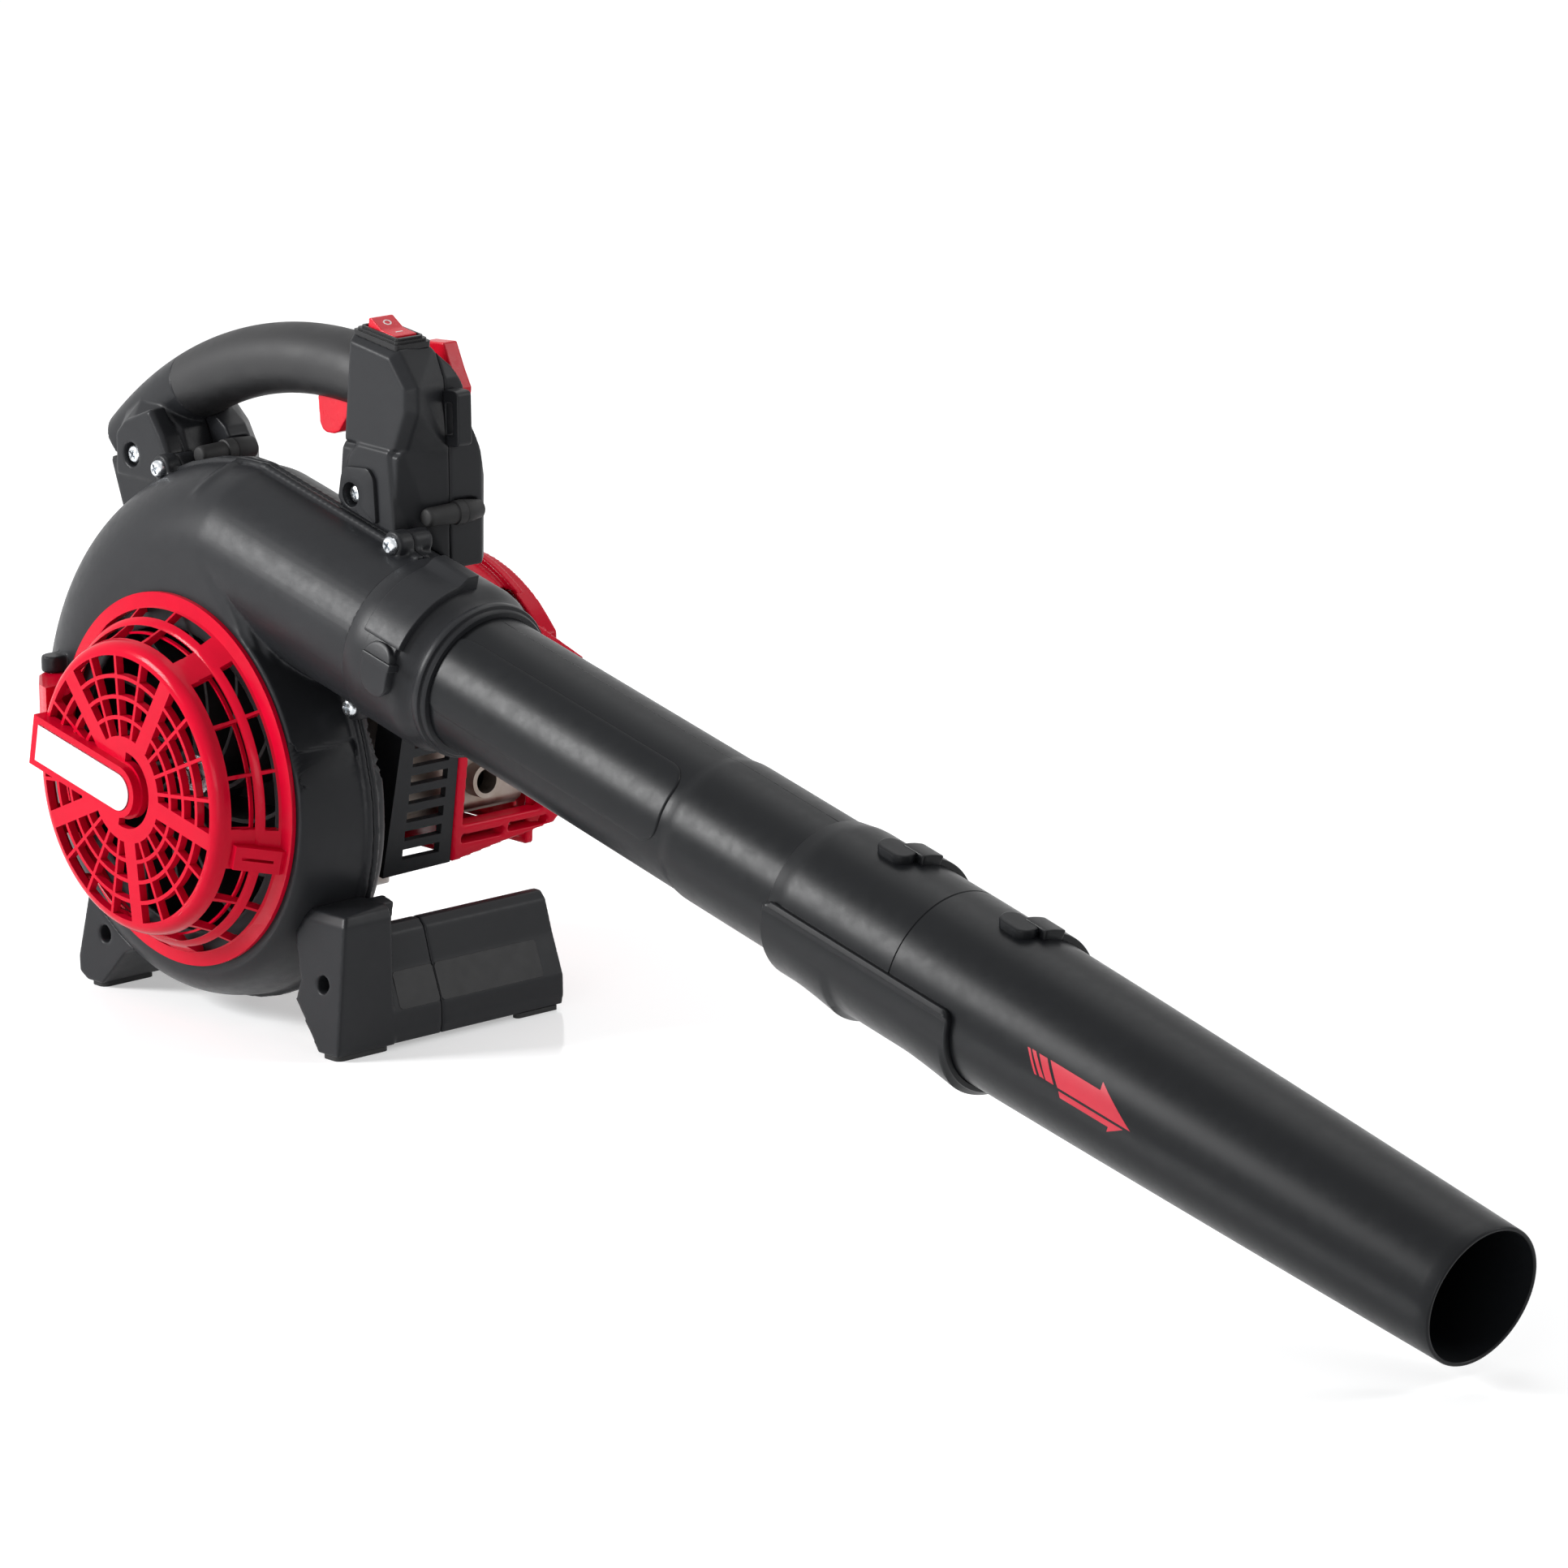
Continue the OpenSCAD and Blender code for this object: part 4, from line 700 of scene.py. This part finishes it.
def openedGuard():
    windows = [windowMesh(a0, a1, *band) for a0, a1 in windowTurns()
               for band in guardWindows["bands"]]
    cutter = addObject("cutter", joined("cutter", windows))
    work = addObject("work", frame["nodes"]["intake_guard"].data.copy())
    addWeld(work)
    cut = work.modifiers.new("cut", "BOOLEAN")
    cut.operation = "DIFFERENCE"
    cut.solver = "EXACT"
    cut.object = cutter
    done = finalMesh(work)
    bpy.data.objects.remove(work)
    bpy.data.objects.remove(cutter)
    return done


guardMesh = openedGuard()        # its faces stay flat, and the broken edges soften it
guardMesh.polygons.foreach_set("use_smooth", [False] * len(guardMesh.polygons))
guard = addPiece("guardOpened", guardMesh, "guardRed", "intake_guard", ["intake_guard"])
breakEdges(guard, guardWindows["brokenEdge"])
print("guard opened:", len(guardMesh.polygons), "faces")

# Outlet collar: body, clamping strap, thumb catch
collar = {
    "outside": [(142, 43.2), (142.2, 43.9), (142.8, 44.2), (177, 44.2), (181, 43.7),
                (185, 42.3), (188, 40.8), (190.5, 39.8), (191.8, 39.5), (192.1, 40.2),
                (193, 40.6), (195.6, 40.6), (196.5, 40.2), (196.8, 38.9), (199, 38.5),
                (199.8, 37.9), (200, 36.2)],
    "inside": [(142, 40.3), (161.5, 40.3), (162, 35.4), (200, 35.45)],
    "step": 9, "body": 44.2, "cell": 1.5, "arcs": 8,
    "strips": {
        "strap": {"ends": (154, 181.5), "turns": (-183, -112.5), "height": 2.8,
                  "corner": 0.8, "soft": 0.5},
        "drop": {"ends": (157.5, 179), "turns": (-116, -98), "height": 1.7,
                 "corner": 0.8, "soft": 0.4},
        "thumb": {"ends": (161, 182.5), "turns": (-103, -98.4), "height": 5.6,
                  "corner": 0.6, "soft": 0.5},
        "tongue": {"ends": (160.5, 181), "turns": (-112, -78), "height": 4.3,
                   "corner": 9.6, "soft": 0.8},
    },
    # the strap rises over the seam of the shells
    "topRise": 3.4, "topFrom": -167, "topTo": -175, "topPower": 1.5,
}


def strapRise(u, v):
    strap = collar["strips"]["strap"]
    a = sum(strap["turns"]) / 2 + math.degrees(v / (collar["body"] + strap["height"]))
    share = (collar["topFrom"] - a) / (collar["topFrom"] - collar["topTo"])
    return collar["topRise"] * min(1, max(0, share)) ** collar["topPower"]


parts = [tubeMesh("body", finer(collar["outside"], collar["step"]), collar["inside"],
                  evenTurns)]
for name, look in collar["strips"].items():
    parts.append(stripMesh(name, look["ends"], look, collar["body"] + look["height"],
                           lambda s: collar["body"], collar["cell"], collar["arcs"],
                           strapRise if name == "strap" else None))
addPiece("collarSkin", joined("collarSkin", parts), "shellBlack", "outlet_collar",
         ["outlet_collar"])
print("collar made")

# First tube, with its bare raised field and the groove of its seam
firstTube = {
    "line": [(162, 35.2), (374, 35.8), (376, 35.9), (379, 36.35), (382, 36.75),
             (385, 36.85), (505, 36.8)],
    "wall": 2, "step": 6,
    "seam": {"turn": 178, "from": 205, "to": 455, "half": 0.15, "shoulder": 0.45,
             "depth": 0.3},
    "field": {"ends": (196, 372), "turns": (-147.5, -80), "radius": 35.6, "corner": 12,
              "rims": [(0, 0.12), (0.35, 0.6), (0.9, 0.75)], "sunk": 0.3,
              "cells": (28, 8)},
}
seam, field = firstTube["seam"], firstTube["field"]


def seamLift(s, a):
    near = abs(a - seam["turn"]) < (seam["half"] + seam["shoulder"]) / 2
    return -seam["depth"] if near and seam["from"] < s < seam["to"] else 0


turns = [a for a in range(-180, 180, 2) if a != seam["turn"]]
for key in ("half", "shoulder"):
    turns += [seam["turn"] - seam[key], seam["turn"] + seam[key]]
outside = finer(firstTube["line"], firstTube["step"])
inside = [(s, r - firstTube["wall"]) for s, r in outside]
addPiece("firstTubeSkin", tubeMesh("firstTubeSkin", outside, inside, sorted(turns), seamLift),
         "tubeBlack", "tube_first", ["tube_first"])
addPiece("firstTubeField", tubePad("firstTubeField", field["ends"], field["turns"],
                                   field["radius"], lambda s: between(firstTube["line"], s),
                                   field), "tubeBlack", "tube_first")
print("first tube made")

# Nozzle tube, with its two bayonet hooks. Lips are rows of (back from the end, radius less
# or more), and the ends of block and strap count from their hook.
nozzle = {
    "socket": [(455, 37.2), (455.4, 37.6), (459.8, 38.3), (462, 38.7), (465, 39.25),
               (468, 39.52), (470.5, 39.6), (541, 39.6), (541.3, 39.15), (541.9, 39.15),
               (542.2, 39.6)],
    "step": 8, "radius": 39.6, "taper": (542.2, 888), "taperCuts": 50, "bend": 1.35,
    "mouth": 33.5, "lipLength": 0.9, "lip": [(0.5, 0.12), (0.15, 0.35), (0, 0.7)],
    "socketBore": [(455, 36.9), (469, 36.9)], "wall": 2, "wallFrom": 470,
    "bore": 31.5, "boreLip": [(40, 0), (0.5, 0), (0.1, 0.3), (0, 0.7)],
    "hooks": (498, 582), "cell": 2, "arcs": 5,
    "button": {"turn": 183, "length": 20, "width": 12.4, "corner": 6, "sunk": 1.2,
               "rims": [(0, 0.05), (0, 3.6), (0.25, 4.2), (0.9, 4.5)], "cells": (10, 8)},
    "strips": {
        "block": {"ends": (-1, 14), "turns": (160, 178), "height": 5, "corner": 1.2,
                  "soft": 0.7},
        "strap": {"ends": (-0.4, 13.4), "turns": (104, 178), "height": 3.2,
                  "corner": 2.5, "soft": 0.7},
    },
}


def nozzleRadius(s):
    start, end = nozzle["taper"]
    share = max(0, (s - start) / (end - start))
    return nozzle["radius"] - (nozzle["radius"] - nozzle["mouth"]) * share ** nozzle["bend"]


start, end = nozzle["taper"]
outside = finer(nozzle["socket"], nozzle["step"])
for k in range(1, nozzle["taperCuts"] + 1):
    s = start + k * (end - nozzle["lipLength"] - start) / nozzle["taperCuts"]
    outside.append((s, nozzleRadius(s)))
outside += [(end - back, nozzle["mouth"] - less) for back, less in nozzle["lip"]]
boreLip = [(end - back, nozzle["bore"] + more) for back, more in nozzle["boreLip"]]
inside = [(s, min(r, nozzle["radius"]) - nozzle["wall"]) for s, r in outside
          if nozzle["wallFrom"] < s < boreLip[0][0]]
parts = [tubeMesh("nozzle", outside, nozzle["socketBore"] + inside + boreLip, evenTurns)]
for hook in nozzle["hooks"]:
    look = nozzle["button"]
    put = roundTube(hook, look["turn"], nozzle["radius"], nozzleRadius)
    parts.append(padMesh("button", put, look["length"], look["width"], look))
    for name, look in nozzle["strips"].items():
        ends = [hook + s for s in look["ends"]]
        parts.append(stripMesh(name, ends, look, nozzle["radius"], nozzleRadius,
                               nozzle["cell"], nozzle["arcs"]))
addPiece("nozzleSkin", joined("nozzleSkin", parts), "tubeBlack", "tube_nozzle",
         ["tube_nozzle"])

# The arrow printed on the nozzle shows the way of the air; each row is (turn, s from, s to)
arrow = {
    "rise": 0.06, "sunk": 0.25, "step": 1.2,
    "bars": [
        [(-106.1, 633.2, 635), (-91.7, 641.4, 642.9)],
        [(-106.4, 636, 638.6), (-92.1, 644.7, 647.6)],
        [(-106.3, 640.7, 646.1), (-92, 648.7, 653.9)],
        [(-106.5, 648.1, 686.6), (-91.7, 656.5, 703.4)],
        [(-112.3, 680.1, 680.3), (-106.5, 680.5, 686.6)],
        [(-89.8, 657.4, 699.1), (-85.6, 658.8, 694.3)],
        [(-85.6, 690.1, 694.3), (-81.6, 689.4, 689.6)],
    ],
}


def printedStrip(rows):
    (a0, low0, high0), (a1, low1, high1) = rows
    rise, sunk = arrow["rise"], arrow["sunk"]
    cuts = max(2, math.ceil((a1 - a0) / arrow["step"]))
    points = []
    for k in range(cuts + 1):
        f = k / cuts
        a = a0 + (a1 - a0) * f
        low, high = low0 + (low1 - low0) * f, high0 + (high1 - high0) * f
        for s, h in ((low, rise), (high, rise), (high, -sunk), (low, -sunk)):
            points.append(onTube(s, a, nozzleRadius(s) + h))
    return loftMesh("bar", points, 4)


addPiece("airArrow", joined("airArrow", [printedStrip(rows) for rows in arrow["bars"]]),
         "inkRed", "tube_nozzle")
print("nozzle made")

# Latch panel: two rising thumb steps under a straight top edge
latch = {
    "ends": (456, 586), "turns": (-99, 0), "radius": 40.5, "seat": 39.64, "corner": 5,
    "rims": [(0, 0.1), (0, 1.7), (0.3, 2.3), (1, 2.6)], "sunk": 0.02, "cells": (64, 6),
    "rise": 2.7, "bow": 1.4, "ramp": (-75, -38),
    "steps": [(468, 500, 504), (544, 582, 585)],         # foot, crest and end
    "ridgeIn": 3.5, "ridgeHalf": 2.2, "ridgeHeight": 0.9,
    "lineAt": 544, "lineHalf": 0.8, "lineDepth": 0.5,
}


def latchLift(u, v):
    s = sum(latch["ends"]) / 2 + u
    a = sum(latch["turns"]) / 2 + math.degrees(v / latch["radius"])
    first, last = latch["ramp"]
    steep = min(1, max(0, (a - first) / (last - first)))
    lift = 0
    for low, high, foot in latch["steps"]:
        if low < s <= high:
            lift = ((s - low) / (high - low)) ** latch["bow"]
        elif high < s < foot:
            lift = 1 - (s - high) / (foot - high)
    off = abs(a - latch["turns"][0] - latch["ridgeIn"])
    ridge = latch["ridgeHeight"] * max(0, 1 - off / latch["ridgeHalf"])
    onLine = abs(s - latch["lineAt"]) < latch["lineHalf"] and a > first
    return latch["rise"] * lift * steep + ridge - (latch["lineDepth"] if onLine else 0)


addPiece("latchPanel", tubePad("latchPanel", latch["ends"], latch["turns"], latch["radius"],
                               lambda s: latch["seat"], latch, latchLift),
         "tubeBlack", "tube_latch", ["tube_latch"])
print("latch made")

# Cross-recessed screws, each at (x, z) with its head to the front
screws = {
    "housing_screws": {"at": [(-53.3, 273.4), (134.7, 261.9), (99, 174), (-136, 95.5)],
                       "crown": -12.5, "head": 4.6, "shank": 2.2, "end": 10},
    "handle_screws": {"at": [(93, 280), (-90, 274)], "crown": 1.1, "head": 4.8,
                      "shank": 2.2, "end": 44},
}
cross = {"arm": 0.62, "reach": 2.6, "spin": 25, "nextSpin": 31, "crease": 28}


def crossRadius(a):
    a = a % 90
    a = math.radians(min(a, 90 - a))
    if math.tan(a) < cross["arm"] / cross["reach"]:
        return cross["reach"] / math.cos(a)
    return cross["arm"] / math.sin(a)


def screwMesh(look, x, z, spin):
    tip = math.degrees(math.atan(cross["arm"] / cross["reach"]))
    # one quarter, from the middle of an arm to the side of the next
    quarter = (0, tip, tip + 8, 32, 45, 58, 82 - tip, 90 - tip)
    turns = [q * 90 + a for q in range(4) for a in quarter]
    head, crown, shank = look["head"], look["crown"], look["shank"]
    end = look["end"] - crown
    # rows of (share of the cross, radius, depth under the crown)
    rows = [(0.02, 0, 2.1), (0.7, 0, 1.9), (1, 0, 0.12), (0, 3.3, 0.3),
            (0, head - 0.75, 0.75), (0, head - 0.2, 1.5), (0, head, 2.3), (0, head, 3.5),
            (0, shank, 3.5), (0, shank, end), (0, 0.05, end)]
    points = []
    for share, radius, depth in rows:
        for a in turns:
            r = share * crossRadius(a) if share else radius
            b = math.radians(a + spin)
            points.append(at(x + r * math.cos(b), crown + depth, z + r * math.sin(b)))
    return loftMesh("screw", points, len(turns), cross["crease"])


for node, look in screws.items():
    heads = [screwMesh(look, x, z, cross["spin"] + cross["nextSpin"] * k)
             for k, (x, z) in enumerate(look["at"])]
    addPiece(node + "Crossed", joined(node + "Crossed", heads), "zinc", node, [node])
print("screws made")

# Raised plate round the lower screw of the handle's post; the hole is (x, z, radius)
postPlate = {
    "outline": [(82.9, 277.1), (85.7, 289.5), (89.1, 293.9), (106.9, 295.1), (111.1, 290.5),
                (112.5, 267.6), (90.5, 272.8)],
    "corner": 2.2, "cornerCuts": 6, "hole": (93, 280, 6.2), "face": 0.5, "height": 1.9,
    "soft": 0.45, "foot": 1.2,
}


# The outline with its corners turned round, as points about a millimetre apart
def roundOutline(look):
    corners, radius, cuts = look["outline"], look["corner"], look["cornerCuts"]
    points = []
    for k, corner in enumerate(corners):
        here = Vector(corner)
        before = (Vector(corners[k - 1]) - here).normalized() * radius
        after = (Vector(corners[(k + 1) % len(corners)]) - here).normalized() * radius
        for i in range(cuts + 1):
            f = i / cuts
            points.append(here + before * (1 - f) ** 2 + after * f ** 2)
    line = []
    for start, end in zip(points, points[1:] + points[:1]):
        steps = max(1, round((end - start).length))
        line += [start.lerp(end, k / steps) for k in range(steps)]
    return line


def plateMesh(look):
    x0, z0, hole = look["hole"]
    middle = Vector((x0, z0))
    line = roundOutline(look)
    turns = [math.atan2(point.y - z0, point.x - x0) for point in line]
    rims = softRims(look["height"], look["soft"], -look["foot"])
    points = []
    for inset, height in rims:
        for point in line:
            spot = point + (middle - point).normalized() * inset
            points.append(at(spot.x, look["face"] - height, spot.y))
    for inset, height in reversed(rims):
        points += [at(x0 + (hole + inset) * math.cos(a), look["face"] - height,
                      z0 + (hole + inset) * math.sin(a)) for a in turns]
    return settle(meshFrom("plate", points, quadsOver(2 * len(rims), len(line), True)))


addPiece("postPlate", plateMesh(postPlate), "shellBlack", "handle_near")

# Rubber buffers: a peg with a ring, which tapers into its seat; rows are (y, radius)
buffers = {
    "at": [(-43, 279), (134, 272)],
    "rows": [[(8, 0.05), (8, 3.3), (8.3, 4.1), (9, 4.6), (10.5, 4.9), (24, 5.25),
              (24.4, 6.1), (29.6, 6.3), (30, 5.9), (30.6, 6.3), (42.5, 5.5), (43, 5),
              (43, 0.05)],
             [(13, 0.05), (13, 3.3), (13.3, 4.1), (14, 4.6), (15.5, 4.9), (31, 5.25),
              (31.4, 6), (36, 6.2), (36.4, 5.8), (37, 6.1), (47.5, 4.6), (48, 4.1),
              (48, 0.05)]],
    "cuts": 48, "crease": 40,
}


def pegMesh(x, z, rows):
    turns = [k * math.tau / buffers["cuts"] for k in range(buffers["cuts"])]
    points = [at(x + r * math.cos(a), y, z + r * math.sin(a)) for y, r in rows for a in turns]
    return loftMesh("peg", points, len(turns), buffers["crease"])


pegs = [pegMesh(x, z, rows) for (x, z), rows in zip(buffers["at"], buffers["rows"])]
addPiece("bufferPegs", joined("bufferPegs", pegs), "softRubber", "buffers", ["buffers"])
print("post plate and buffers made")

# Marks on the stop switch, one on each slope: a ring for off and a bar for on
switchMarks = {
    "pivot": (106, 17, 358.5), "tilt": 7.5,
    "slopes": [((-8.5, 8.6), (0, 4.6)), ((0, 4.6), (10.6, 4.2))],
    "inner": 1.3, "outer": 1.9, "oval": 1.25, "cuts": 40, "rise": 0.12, "sunk": 0.3,
    "bar": {"length": 4.2, "width": 0.8, "corner": 0.2, "rims": [(0, 0.1), (0.05, 0.12)],
            "sunk": 0.3, "cells": (4, 2)},
}


def onSwitch(x, y, z):
    a = math.radians(switchMarks["tilt"])
    px, py, pz = switchMarks["pivot"]
    return at(px + x * math.cos(a) + z * math.sin(a), py + y,
              pz - x * math.sin(a) + z * math.cos(a))


def onSlope(k, along, across, h):
    (x0, z0), (x1, z1) = switchMarks["slopes"][k]
    way = Vector((x1 - x0, 0, z1 - z0)).normalized()
    out = Vector((-way.z, 0, way.x))
    place = Vector(((x0 + x1) / 2, 0, (z0 + z1) / 2)) + way * along + out * h
    return onSwitch(place.x, across, place.z)


points = []
turns = [k * math.tau / switchMarks["cuts"] for k in range(switchMarks["cuts"])]
for side, h in (("inner", switchMarks["rise"]), ("outer", switchMarks["rise"]),
                ("outer", -switchMarks["sunk"]), ("inner", -switchMarks["sunk"])):
    radius = switchMarks[side]
    points += [onSlope(0, radius * math.cos(a), radius * switchMarks["oval"] * math.sin(a), h)
               for a in turns]
ring = settle(meshFrom("ring", points, quadsOver(4, len(turns), True)))
look = switchMarks["bar"]
bar = padMesh("bar", lambda u, v, h: onSlope(1, v, u, h), look["length"], look["width"], look)
addPiece("switchMarks", joined("switchMarks", [ring, bar]), "inkWhite", "stop_switch")

# Bare fields on the sloping bar of the front foot, one on each half
footField = {"low": (120, 18), "high": (112, 39.5), "spans": [(1.5, 27.4), (28.6, 95)],
             "width": 19.6, "corner": 2, "rims": [(0, 0.15), (0.15, 0.3)], "sunk": 0.5,
             "cells": (6, 6)}


def footPlace(middle):
    def put(u, v, h):
        (x0, z0), (x1, z1) = footField["low"], footField["high"]
        way = Vector((x1 - x0, 0, z1 - z0)).normalized()
        return at((x0 + x1) / 2 + way.x * v + way.z * h, middle + u,
                  (z0 + z1) / 2 + way.z * v - way.x * h)
    return put


for node, (low, high) in zip(("front_foot", "front_foot_end"), footField["spans"]):
    mesh = padMesh(node + "Field", footPlace((low + high) / 2), high - low,
                   footField["width"], footField)
    addPiece(node + "Field", mesh, "trimBlack", node)
print("marks and fields made")

# Floor, light and background
studio = {
    "floorSize": 30,                 # metres
    "floorColour": (0.9, 0.905, 0.91), "floorRough": 0.12, "floorLevel": 0.2,
    "floorGlow": 0.4,
    "worldLevel": 0.34,
    "aim": (-0.15, 0, 0.16),         # metres; where the lamps point
}


# 1 for what the camera sees, directly or in a reflection or through glass
def seenRays(tree):
    ray = tree.nodes.new("ShaderNodeLightPath")
    seen = ray.outputs["Is Camera Ray"]
    for kind in ("Is Glossy Ray", "Is Transmission Ray"):
        either = tree.nodes.new("ShaderNodeMath")
        either.operation = "MAXIMUM"
        tree.links.new(seen, either.inputs[0])
        tree.links.new(ray.outputs[kind], either.inputs[1])
        seen = either.outputs[0]
    return seen


tree, shader = startMaterial("floorWhite")[:2]
shader.inputs["Base Color"].default_value = (*studio["floorColour"], 1)
shader.inputs["Roughness"].default_value = studio["floorRough"]
shader.inputs["Specular IOR Level"].default_value = studio["floorLevel"]
glow = tree.nodes.new("ShaderNodeEmission")
share = tree.nodes.new("ShaderNodeMath")
share.operation = "MULTIPLY"
share.inputs[1].default_value = studio["floorGlow"]
tree.links.new(seenRays(tree), share.inputs[0])
tree.links.new(share.outputs[0], glow.inputs["Strength"])
total = tree.nodes.new("ShaderNodeAddShader")
tree.links.new(shader.outputs[0], total.inputs[0])
tree.links.new(glow.outputs[0], total.inputs[1])
tree.links.new(total.outputs[0], tree.nodes["Material Output"].inputs["Surface"])
half = studio["floorSize"] / 2
floorMesh = meshFrom("floor", [(-half, -half, 0), (half, -half, 0), (half, half, 0),
                               (-half, half, 0)], [(0, 1, 2, 3)])
floorMesh.materials.append(materials["floorWhite"])
addObject("floor", floorMesh)

world = bpy.data.worlds.new("studio")
world.use_nodes = True
bpy.context.scene.world = world
tree = world.node_tree
background = tree.nodes["Background"]
background.inputs["Color"].default_value = (1, 1, 1, 1)
level = tree.nodes.new("ShaderNodeMapRange")
level.inputs["To Min"].default_value = studio["worldLevel"]
level.inputs["To Max"].default_value = 1
tree.links.new(seenRays(tree), level.inputs["Value"])
tree.links.new(level.outputs["Result"], background.inputs["Strength"])

# sizes and places in metres, power in watts
lamps = {
    "keySoftbox": {"size": (0.8, 0.95), "place": (-1.72, -2.05, 1.3), "power": 88},
    "topSoftbox": {"size": (1.6, 1.6), "place": (-0.5, 0.9, 2.4), "power": 12},
    "rimSoftbox": {"size": (0.6, 1.4), "place": (1.5, 1.7, 1.5), "power": 16},
    "lowFill": {"size": (1.5, 0.7), "place": (1.3, -2.5, 0.45), "power": 15},
}
for name, lamp in lamps.items():
    data = bpy.data.lights.new(name, "AREA")
    data.shape = "RECTANGLE"
    data.size, data.size_y = lamp["size"]
    data.energy = lamp["power"]
    light = addObject(name, data)
    light.location = lamp["place"]
    way = Vector(studio["aim"]) - light.location
    light.rotation_euler = way.to_track_quat("-Z", "Y").to_euler()
print("studio set")
